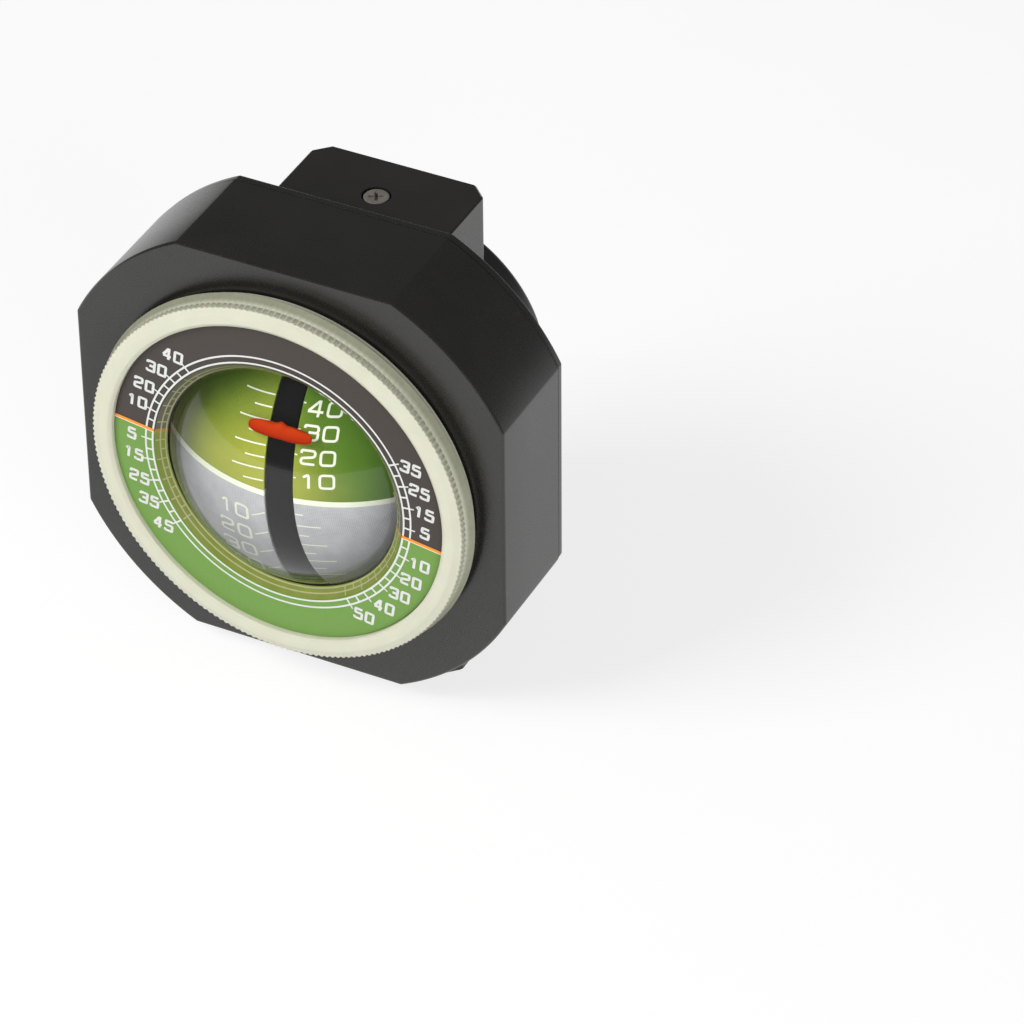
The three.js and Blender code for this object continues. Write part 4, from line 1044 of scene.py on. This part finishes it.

# %% [markdown]
# ## Bevel inside the dial
# Inside the printed ring the clear front slopes down to the dome, and the print is seen in it a
# second time, smaller and in olive, as a reflection. That reflection is painted here on a thin sloping
# ring with faint lines of its own, so that it turns with the dial.

# %% Bevel ring
BEVEL_OUTER, BEVEL_INNER = 20.46, 19.0
BEVEL_TOP, BEVEL_FOOT = DIAL_FACE + 0.03, DIAL_FACE + 1.3
OUTER_WALL, INNER_WALL, INNER_LEAN = 0.3, 0.2, 0.1
BEVEL_BLEND = (-0.3, 0.5)  # mm above the zero line, from the lower colour to the upper
REFLECTED_ZERO_SPOT, REFLECTED_ZERO_STRENGTH = 0.35, 0.7
bevel_section = [[BEVEL_OUTER, BEVEL_TOP], [BEVEL_OUTER, BEVEL_TOP + OUTER_WALL],
                 [BEVEL_INNER + INNER_LEAN, BEVEL_FOOT + INNER_WALL], [BEVEL_INNER, BEVEL_FOOT]]
bevel = make_piece("dial_bevel_painted_reflection", lathe(bevel_section, turns=360), "bezel")
# Painted reflection of the dial: green below, grey above, an orange spot at the zero line.
material, tree, shader, place = start("olive_painted_reflection", on_face, dial_way, Roughness=0.35,
                                      Specular_IOR_Level=0.2)
pz = split(tree, place)[2]
cloud = noise(tree, place, 0.4, 3)
low_colour = mix(tree, cloud, colour("6f7d30"), colour("86904a"))
high_colour = mix(tree, cloud, colour("59594b"), colour("6d6c5c"))
either_colour = mix(tree, spread(tree, pz, *BEVEL_BLEND, 0, 1), low_colour, high_colour)
reflected_zero_spot = calc(tree, "LESS_THAN", calc(tree, "ABSOLUTE", pz), REFLECTED_ZERO_SPOT)
with_zero = mix(tree, calc(tree, "MULTIPLY", reflected_zero_spot, REFLECTED_ZERO_STRENGTH), either_colour, colour("c27d3a"))
put(tree, shader.inputs["Base Color"], with_zero)
wear(bevel, material)

# %% [markdown]
# ## Faint lines of the bevel
# The second image of the ladder, a painted reflection, is fainter and smaller. The flat lines are the
# same kind of ribbons as on the dial and are only bent down onto the slope.

# %% Faint lines of the bevel
FAINT_OUTER, FAINT_INNER, EDGE_GAP = 19.8, 19.2, 0.12
FAINT_CIRCLE, FAINT_RUNG, FAINT_TICK = 0.16, 0.2, 0.22  # widths
LONG_ANGLES = list(range(-50, 40, 10)) + list(range(145, 230, 10))


def on_bevel(u, v, height):
    """Flat point to the slope: y = top + (outer - r) / (outer - inner) * (foot - top) - lift, where r is
    sqrt(u^2 + v^2)."""
    point = on_dial(u, v, height)
    share = (BEVEL_OUTER - np.hypot(u, v)) / (BEVEL_OUTER - BEVEL_INNER)
    point[..., 1] = BEVEL_TOP + share * (BEVEL_FOOT - BEVEL_TOP) - INK - height
    return point


faint = [ribbon(arc_line(radius, 0, 360), FAINT_CIRCLE) for radius in (FAINT_OUTER, FAINT_INNER)]
faint += [ribbon(spoke(a, FAINT_INNER, FAINT_OUTER), FAINT_RUNG, 1) for a in rungs]
faint += [ribbon(spoke(a, FAINT_OUTER, BEVEL_OUTER - EDGE_GAP), FAINT_TICK, 2) for a in LONG_ANGLES]
# Painted reflection of the ladder, laid on the bevel.
reflected_lines = make_piece("bevel_painted_reflection_marks", laid(faint, on_bevel), "bezel", outward=False)
wear(reflected_lines, ink("painted_reflection_lines", "9c9d70", "b5b38c", 1.5, Specular_IOR_Level=0.2))

# %% [markdown]
# ## Ball
# Two half balls with a slot between them carry the print. The print is a thin skin on the ball: an
# outer and an inner sheet joined at their edges. At the back the ball is open, where the frame that
# carries it reaches in, and the skin stops at the same plane.

# %% Ball skins
BALL_RADIUS = head_span("ball_right")[1][0]
SLOT_HALF, BALL_PITCH, REAR_OPEN = 1.92, 5.8, 9.9
SKIN = 0.03


def tip(points, degrees):
    """Turns points about X and moves them to the ball's centre: y' = y cos - z sin, z' = y sin + z cos."""
    c, s = math.cos(math.radians(degrees)), math.sin(math.radians(degrees))
    x, y, z = points[..., 0], points[..., 1], points[..., 2]
    return np.stack([x, y * c - z * s + BALL_Y, y * s + z * c], -1)


def ball_sheet(radius, sign, rows=48, columns=96):
    """Sphere part with |x| > slot and y < rear: x = R cos p, y = -r cos q, z = r sin q, with r = R sin p
    and q up to the angle at which y reaches the rear, arccos(-rear / r)."""
    p = np.linspace(0, math.acos(SLOT_HALF / radius), rows)[:, None]
    r = radius * np.sin(p)
    limit = np.where(r > REAR_OPEN, np.arccos(-REAR_OPEN / np.maximum(r, REAR_OPEN)), np.pi)
    q = np.linspace(-1, 1, columns) * limit
    return np.stack([sign * radius * np.cos(p) + 0 * q, -r * np.cos(q), r * np.sin(q)], -1)


def closed_sheet(outer, inner):
    """Outer and inner sheets with the strips between their borders, as one closed surface."""
    tube = np.concatenate([outer, inner[::-1], outer[:1]])
    ends = [np.stack([outer[:, c], inner[:, c]], 1) for c in (0, -1)]
    return together(grid(tube), grid(ends[0]), grid(ends[1][:, ::-1]))


ball_skins = []
for node, sign in (("ball_left", -1), ("ball_right", 1)):
    outer, inner = (tip(ball_sheet(BALL_RADIUS + lift, sign), BALL_PITCH) for lift in (2 * SKIN, SKIN))
    ball_skins.append(make_piece(node + "_print", closed_sheet(outer, inner), "ball"))

# %% [markdown]
# ## Ball print
# Above the horizon the green ink has a stipple and a painted shade: yellow-green just left of the
# slot, deeper green towards the ball's edges and its top. Below it is grey with a fine weave, and a
# pale line lies between. The horizon is drawn as a height that droops a little with the square of x,
# as the photograph shows it.

# %% Ball print colours
HORIZON, HORIZON_DROOP, HORIZON_HALF = -0.25, -0.0028, 0.4
LIGHTEST_X, RIGHT_RATE, LEFT_RATE = -1.5, 0.075, -0.042
RISE_START, RISE_RATE, STIPPLE_RATE = 2, 0.055, 0.55
WEAVE = 14  # radians per mm
material, tree, shader, place = start("ball_print", BALL_CENTRE, (BALL_PITCH, 0, 0), Roughness=0.5,
                                      Specular_IOR_Level=0.05)
px, _, pz = split(tree, place)
droop = calc(tree, "MULTIPLY", calc(tree, "MULTIPLY", px, px), HORIZON_DROOP)
height = calc(tree, "SUBTRACT", calc(tree, "SUBTRACT", pz, HORIZON), droop)
grain = noise(tree, place, 7, 2, 0.8)
cloud = noise(tree, place, 0.5, 3)

# Painted shade on the green: lightest just left of the slot, deeper to both sides and above z = 2 mm, with
# the stipple added.
from_slot = calc(tree, "SUBTRACT", px, LIGHTEST_X)
sideways = [calc(tree, "MULTIPLY", from_slot, rate) for rate in (RIGHT_RATE, LEFT_RATE)]
risen = calc(tree, "MAXIMUM", calc(tree, "SUBTRACT", pz, RISE_START), 0)
shade_and_stipple = calc(tree, "ADD", calc(tree, "MAXIMUM", *sideways), calc(tree, "MULTIPLY", risen, RISE_RATE))
shade_and_stipple = calc(tree, "ADD", shade_and_stipple, calc(tree, "MULTIPLY", calc(tree, "SUBTRACT", grain, 0.5), STIPPLE_RATE))
green = mix(tree, spread(tree, shade_and_stipple, 0.1, 1.0, 0, 1, True), colour("9b9e3e"), colour("507224"))

diagonals = [calc(tree, "MULTIPLY", calc(tree, way, px, pz), WEAVE) for way in ("ADD", "SUBTRACT")]
weave = calc(tree, "MULTIPLY", *[calc(tree, "SINE", diagonal) for diagonal in diagonals])
grey = mix(tree, spread(tree, weave, -1, 1, 0, 1), colour("98969c"), colour("bdbcc1"))
grey = mix(tree, spread(tree, cloud, *CLOUD_RANGE, 0, 0.35), grey, colour("cac9ce"))

two = mix(tree, calc(tree, "GREATER_THAN", height, 0.0), grey, green)
line = calc(tree, "LESS_THAN", calc(tree, "ABSOLUTE", height), HORIZON_HALF)
put(tree, shader.inputs["Base Color"], mix(tree, line, two, colour("e4e7d6")))
ball_paint = material
for skin in ball_skins:
    wear(skin, ball_paint)
print("nodes in the ball's print:", len(tree.nodes))

# %% [markdown]
# ## Ball marks
# Figures and ticks of the ball are ribbons again, placed by their distance from the slot along a
# parallel and by their height above the horizon in degrees. The heights are those measured on the
# photograph: close to every five degrees above the horizon and below it.

# %% From flat to ball
TO_DEGREES = math.degrees(1 / BALL_RADIUS)
BALL_TICK = 0.2


def on_ball(u, degrees_up, height, lift=3 * SKIN):
    """Point of the ball: with latitude f and longitude l = u / (R cos f) it is
    R (cos f sin l, -cos f cos l, sin f)."""
    f = np.radians(degrees_up)
    l = u / (BALL_RADIUS * np.cos(f))
    radius = BALL_RADIUS + lift + height
    parallel = radius * np.cos(f)
    return tip(np.stack([parallel * np.sin(l), -parallel * np.cos(l), radius * np.sin(f)], -1), BALL_PITCH)


def tick(u_start, u_end, at, slope=0.0, count=12):
    """A tick along a parallel: v = at - slope (|u| - slot), in mm of the ball's surface."""
    u = np.linspace(u_start, u_end, count)
    return ribbon(np.stack([u, at / TO_DEGREES - slope * (np.abs(u) - SLOT_HALF)], -1), BALL_TICK)


print("one degree on the ball is", round(1 / TO_DEGREES, 3), "mm")

# %% [markdown]
# ## Scale of the ball
# Long and short ticks alternate beside the slot, on the left above the horizon and on the right below
# it, with a short tick towards each number on the other side. The rows below give each tick's height
# and its outer end, as measured on the photograph.

# %% Ball figures and ticks
LEFT_START, RIGHT_START = -SLOT_HALF - 0.05, SLOT_HALF + 0.02
UPPER_FIGURE = (2.1, 2.15, 2.5, 0.34, 0.5)  # width, height, pitch, stroke, fillet
LOWER_FIGURE = (1.95, 2.25, 2.3, 0.34, 0.5)
UPPER_X, LOWER_X = 4.95, -6.35
UPPER_SLOPE, LOWER_SLOPE = 0.17, 0.6
SHORT_RIGHT, SHORT_LEFT = 2.3, -3.8  # ends of the ticks towards the numbers
ball_marks = []
for at, outer in ((4.7, 4.8), (9.5, 6.55), (14.1, 4.75), (18.9, 6.5),
                  (23.6, 4.65), (28.3, 6.4), (33.4, 4.55), (38.2, 6.35)):
    ball_marks.append(tick(LEFT_START, -outer, at, UPPER_SLOPE))
for at, outer in ((-6.8, 2.95), (-12.2, 4.87), (-17.1, 3.17), (-21.9, 4.95),
                  (-26.8, 3.24), (-31.4, 5.1), (-36.4, 3.4), (-41.0, 5.0)):
    ball_marks.append(tick(RIGHT_START, outer, at))
for at in (9.2, 18.5, 28.3, 38.4):
    ball_marks.append(tick(RIGHT_START, SHORT_RIGHT, at))
for at in (-9.3, -18.7, -28.4, -38.6):
    ball_marks.append(tick(LEFT_START, SHORT_LEFT, at, LOWER_SLOPE))
for at, text in ((8.6, "10"), (18.0, "20"), (27.5, "30"), (36.8, "40")):
    ball_marks += number_ribbons(text, (UPPER_X, at / TO_DEGREES), *UPPER_FIGURE)
for at, text in ((-12.5, "10"), (-22.4, "20"), (-32.0, "30"), (-41.4, "40")):
    ball_marks += number_ribbons(text, (LOWER_X, at / TO_DEGREES), *LOWER_FIGURE)
figures_part = laid(ball_marks, lambda u, v, height: on_ball(u, v * TO_DEGREES, height))
ball_figures = make_piece("ball_marks", figures_part, "ball", outward=False)
wear(ball_figures, ink("ball_ink", "d6d9c8", "eaecdc", 5, BALL_CENTRE, Specular_IOR_Level=0.05))

# %% [markdown]
# ## Meridian band
# The black band in the slot is the rim of the pointer's arm. It is part of a cylinder about the pitch
# axle, covered here with a thin skin as the ball is, and it swings with the pointer.

# %% Band skin
BAND_HALF, BAND_RADIUS, BAND_ARC, POINTER_ANGLE = 1.62, 19.3, 115.0, 20.6


def band_sheet(radius, half, rows=5, columns=220):
    """Part of a cylinder about X: (x, -R cos q, R sin q), with q within the band's arc."""
    q = np.radians(np.linspace(-BAND_ARC, BAND_ARC, columns))[None]
    x = np.linspace(-half, half, rows)[:, None]
    return np.stack([x + 0 * q, -radius * np.cos(q) + 0 * x, radius * np.sin(q) + 0 * x], -1)


outer, inner = (
    tip(band_sheet(BAND_RADIUS + lift, BAND_HALF + lift), -POINTER_ANGLE) for lift in (2 * SKIN, SKIN))
band = make_piece("pointer_band", closed_sheet(outer, inner), "pointer")
wear(band, works_plastic)

# %% [markdown]
# ## Pointer
# The orange pointer on the band is a flat wing with rounded tips and a small bump in the middle of its
# upper edge. Its outline is an ellipse with blunter ends, to which the bump's arc is added. Smaller
# copies of the outline towards the front and the back, on a squarish curve, give it a soft edge.

# %% Pointer surface
WING_HALF, WING_TALL, WING_DEEP, WING_RADIUS = 4.45, 1.025, 0.65, 20.55
WING_END, WING_SIDE, WING_EDGE = 0.62, 0.72, 2.6  # how blunt tips, long sides and edge are
BUMP_RADIUS, BUMP_TOP = 0.8, 1.36
STEPS = 14  # from the front of the wing to its full outline
a = np.linspace(0, 2 * np.pi, 161)
wing = np.stack([WING_HALF * np.sign(np.cos(a)) * np.abs(np.cos(a)) ** WING_END,
                 WING_TALL * np.sign(np.sin(a)) * np.abs(np.sin(a)) ** WING_SIDE], -1)
bump_edge = (BUMP_TOP - BUMP_RADIUS) + np.sqrt(np.maximum(BUMP_RADIUS**2 - wing[:, 0] ** 2, 0))
under_bump = (wing[:, 1] > 0) & (np.abs(wing[:, 0]) < BUMP_RADIUS)
wing[:, 1] = np.where(under_bump, np.maximum(wing[:, 1], bump_edge), wing[:, 1])
k = np.concatenate([np.sin(np.linspace(0, np.pi / 2, STEPS)), np.sin(np.linspace(np.pi / 2, 0, STEPS))[1:]])
side = np.concatenate([-np.ones(STEPS), np.ones(STEPS - 1)])
deep = side * WING_DEEP * (1 - k**WING_EDGE) ** 0.5
wing_rows = np.stack([k[:, None] * wing[:, 0], -WING_RADIUS + deep[:, None] + 0 * wing[:, 0],
                      k[:, None] * wing[:, 1]], -1)
wing_part = grid(tip(wing_rows, -POINTER_ANGLE))
pointer = make_piece("pointer_wing", wing_part, "pointer", ["pitch_pointer"])

# %% [markdown]
# ## Orange plastic of the pointer
# The pointer is moulded in a strong orange. It gets a painted shade, a little darker below, so the
# colour runs from a deep to a bright orange with the height on the wing.

# %% Pointer finish
material, tree, shader, place = start("orange_pointer_plastic", BALL_CENTRE, (-POINTER_ANGLE, 0, 0),
                                      Specular_IOR_Level=0.06)
pz = split(tree, place)[2]
# Painted shade: darker towards the bottom of the wing.
orange_with_painted_shade = mix(tree, spread(tree, pz, -1.0, 1.2, 0, 1, True), colour("9a2200"), colour("b83502"))
put(tree, shader.inputs["Base Color"], orange_with_painted_shade)
put(tree, shader.inputs["Roughness"], spread(tree, noise(tree, place, 3, 3), *NOISE_RANGE, 0.36, 0.46))
bump(tree, shader, noise(tree, place, 5, 3), 0.1, GRAIN_HEIGHT)
wear(pointer, material)
print("pointer", 2 * WING_HALF, "x", 2 * WING_TALL, "mm, bump's top", BUMP_TOP)

# %% [markdown]
# ## Dome and liquid
# Dome and liquid bend light almost alike, so they are one clear body here: the outer dome, its flange,
# and the liquid down to the cup's walls, which its side lies just inside. The ball is seen through the
# one curved surface, as in real life. Lamp light is let through the dome for shadows.

# %% Clear body
DOME_BASE, DOME_RADIUS, DOME_FOOT = 18.8, 24.4, DIAL_FACE + 1.4
FLANGE_FRONT = DOME_BACK - 0.8
LIQUID_RADIUS, LIQUID_BACK = CUP_INNER + 0.6, CUP_FLOOR + 0.7
a = np.linspace(0, math.asin(DOME_BASE / DOME_RADIUS), 64)
arc = np.stack([DOME_RADIUS * np.sin(a), DOME_FOOT + DOME_RADIUS * (math.cos(a[-1]) - np.cos(a))], -1)
below = [[DOME_BASE, FLANGE_FRONT], [DRUM_RADIUS, FLANGE_FRONT], [DRUM_RADIUS, DOME_BACK],
         [LIQUID_RADIUS, DOME_BACK], [LIQUID_RADIUS, LIQUID_BACK], [0, LIQUID_BACK]]
clear_part = lathe(np.vstack([arc, below]), turns=256, close=False)
dome = make_piece("dome_and_liquid", clear_part, "head", ["dome_window"], smooth_angle=30)
print("dome's pole at", arc[0, 1].round(2), "mm, the solid's at", round(DOME_POLE, 2))

# %% [markdown]
# ## Clear plastic
# A real dome casts hardly any shadow. A path tracer would darken what lies behind it, because light
# that is bent can't be aimed at a lamp. So shadow rays meet a plain see-through shader instead, and
# every other ray the clear plastic.

# %% Clear finish
def either_shader(tree, factor, first, second):
    """Shader of a material: first * (1 - factor) + second * factor."""
    either = tree.nodes.new("ShaderNodeMixShader")
    for socket, value in zip(either.inputs, (factor, first, second)):
        put(tree, socket, value)
    put(tree, tree.nodes["Material Output"].inputs["Surface"], either.outputs["Shader"])


SHADOW_TINT = (0.93, 0.95, 0.93, 1)
material, tree, shader, place = start("clear_dome", on_face, IOR=1.49, Roughness=0.0, Specular_IOR_Level=0.28,
                                      Transmission_Weight=1.0)
clear = mix(tree, noise(tree, place, 0.3, 2), colour("fbfdfa"), colour("f6faf5"))
put(tree, shader.inputs["Base Color"], clear)
path = tree.nodes.new("ShaderNodeLightPath")
through = tree.nodes.new("ShaderNodeBsdfTransparent")
through.inputs["Color"].default_value = SHADOW_TINT
either_shader(tree, path.outputs["Is Shadow Ray"], shader.outputs["BSDF"], through.outputs["BSDF"])
wear(dome, material)
print("nodes in the clear finish:", len(tree.nodes))

# %% [markdown]
# ## Hidden pieces
# The pieces inside keep their CAD shapes and get the finish of what they are made of: steel, brass,
# cast weights, rubber and black plastic. They are seen at most through the dome or in the hinge, so
# faceted solids will do.

# %% Finishes of the CAD pieces
finish_of = {"steel": dark_steel, "brass": brass, "weight": cast_lead, "rubber": rubber,
             "black_parts": works_plastic, "housing": housing_plastic, "card": ball_paint}
for part in frame["record"]["subparts"]:
    node = cad[part["node"]]
    if not node.hide_render and part["material_slot"] in finish_of:
        wear(node, finish_of[part["material_slot"]])
        print(part["node"], "wears", part["material_slot"])

# %% [markdown]
# ## Floor
# The instrument stands on a pale floor that reads as white. A plain white floor would need much more
# light on the instrument before it looked white. So the camera, gloss and glass see a glow with a weak
# matt shader added to it, which keeps the object's shadow. Light that bounces off the floor meets a
# plain matt near-white.

# %% Floor
FLOOR_HALF, FLOOR_Z = 3.0, -0.00002
GLOW = 0.76
corners = [(x * FLOOR_HALF, y * FLOOR_HALF, FLOOR_Z) for x, y in ((-1, -1), (1, -1), (1, 1), (-1, 1))]
mesh = bpy.data.meshes.new("floor")
mesh.from_pydata(corners, [], [(0, 1, 2, 3)])
ground = bpy.data.objects.new("floor", mesh)
bpy.context.scene.collection.objects.link(ground)


def grey_cloud(tree, place, low, high):
    """Grey that runs from low to high over wide clouds."""
    return mix(tree, noise(tree, place, 0.02, 2), (low, low, low, 1), (high, high, high, 1))


material, tree, shader, place = start("white_floor", Roughness=0.9, Specular_IOR_Level=0.0)
put(tree, shader.inputs["Base Color"], grey_cloud(tree, place, low=0.9, high=0.92))
path = tree.nodes.new("ShaderNodeLightPath").outputs
bright = calc(tree, "MAXIMUM", path["Is Glossy Ray"], path["Is Transmission Ray"])
seen = calc(tree, "MAXIMUM", path["Is Camera Ray"], bright)
glow = tree.nodes.new("ShaderNodeEmission")
glow.inputs["Color"].default_value = (1, 1, 1, 1)
glow.inputs["Strength"].default_value = GLOW
dim = tree.nodes.new("ShaderNodeBsdfDiffuse")
put(tree, dim.inputs["Color"], grey_cloud(tree, place, low=0.3, high=0.31))
both = tree.nodes.new("ShaderNodeAddShader")
tree.links.new(glow.outputs[0], both.inputs[0])
tree.links.new(dim.outputs[0], both.inputs[1])
either_shader(tree, seen, shader.outputs["BSDF"], both.outputs[0])
wear(ground, material)
print("floor", 2 * FLOOR_HALF, "m wide")

# %% [markdown]
# ## Room
# The world is bright up to the horizon and a dim grey above it, so a surface that faces down or
# sideways mirrors something pale and one that faces up stays dark, as the black plastic does on the
# photograph. The camera sees plain white in its place, by the Light Path node.

# %% World
LOWER_GREY, UPPER_GREY = (0.95, 0.95, 0.95, 1), (0.17, 0.17, 0.17, 1)
HORIZON_BLEND = (-0.1, 0.06)  # z of the view direction over which one goes over into the other
world = bpy.data.worlds.new("room")
bpy.context.scene.world = world
world.use_nodes = True
tree = world.node_tree
background = tree.nodes["Background"]
sz = split(tree, tree.nodes.new("ShaderNodeTexCoord").outputs["Generated"])[2]
sky = mix(tree, spread(tree, sz, *HORIZON_BLEND, 0, 1, True), LOWER_GREY, UPPER_GREY)
path = tree.nodes.new("ShaderNodeLightPath").outputs
put(tree, background.inputs["Color"], mix(tree, path["Is Camera Ray"], sky, (1, 1, 1, 1)))
background.inputs["Strength"].default_value = 1.0
print("room from", LOWER_GREY[0], "below the horizon to", UPPER_GREY[0], "above")

# %% [markdown]
# ## Lamps
# Two square lamps give the plain, soft studio light: the stronger one from the front left above, the
# weaker one from the front right. Their mirror images would lie as hard squares on dome and plastic,
# so they aren't seen in gloss.

# %% Lamps
def area_lamp(name, location, target, size, power):
    """A square lamp at location, in metres. Its axes are z = (location - target) / |location - target|,
    x = (0, 0, 1) x z / |(0, 0, 1) x z| and y = z x x, and it shines along -z."""
    data = bpy.data.lights.new(name, "AREA")
    data.size, data.energy = size, power
    lamp = bpy.data.objects.new(name, data)
    bpy.context.scene.collection.objects.link(lamp)
    lamp.location = location
    z = np.array(location) - np.array(target)
    z = z / np.linalg.norm(z)
    x = np.cross([0, 0, 1], z)
    x = x / np.linalg.norm(x)
    lamp.rotation_euler = Matrix(np.stack([x, np.cross(z, x), z], -1).tolist()).to_euler()
    lamp.visible_glossy = False
    print(name, power, "W")
    return lamp


TARGET = (0, 0, 0.04)
area_lamp("key_lamp", (-0.5, -0.6, 0.7), TARGET, size=0.5, power=8.0)
area_lamp("fill_lamp", (0.8, -0.7, 0.3), TARGET, size=0.6, power=6.0)

# %% [markdown]
# ## Camera
# The camera has the photograph's angle, found by fitting the ring of the dial and the corners of the
# housing. Its three axes are worked out from azimuth, elevation and roll: forward, right and up.

# %% Camera
AZIMUTH, ELEVATION, ROLL = math.radians(26.675), math.radians(37.652), math.radians(-0.521)
PLACE = (0.31255, -0.57282, 0.51691)
forward = np.array([-math.sin(AZIMUTH) * math.cos(ELEVATION), math.cos(AZIMUTH) * math.cos(ELEVATION),
                    -math.sin(ELEVATION)])
right = np.array([math.cos(AZIMUTH), math.sin(AZIMUTH), 0])
up = np.cross(right, forward)
right, up = right * math.cos(ROLL) + up * math.sin(ROLL), up * math.cos(ROLL) - right * math.sin(ROLL)
camera_data = bpy.data.cameras.new("camera")
camera_data.lens, camera_data.sensor_width = 190.36, 36.0
camera_data.clip_start, camera_data.clip_end = 0.05, 20
camera = bpy.data.objects.new("camera", camera_data)
bpy.context.scene.collection.objects.link(camera)
pose = np.eye(4)
pose[:3, :3] = np.stack([right, up, -forward], -1)
pose[:3, 3] = PLACE
camera.matrix_world = Matrix(pose.tolist())
bpy.context.scene.camera = camera
bpy.context.scene.view_settings.view_transform = "Standard"
print("camera", round(math.dist(PLACE, TARGET), 3), "m from the instrument")
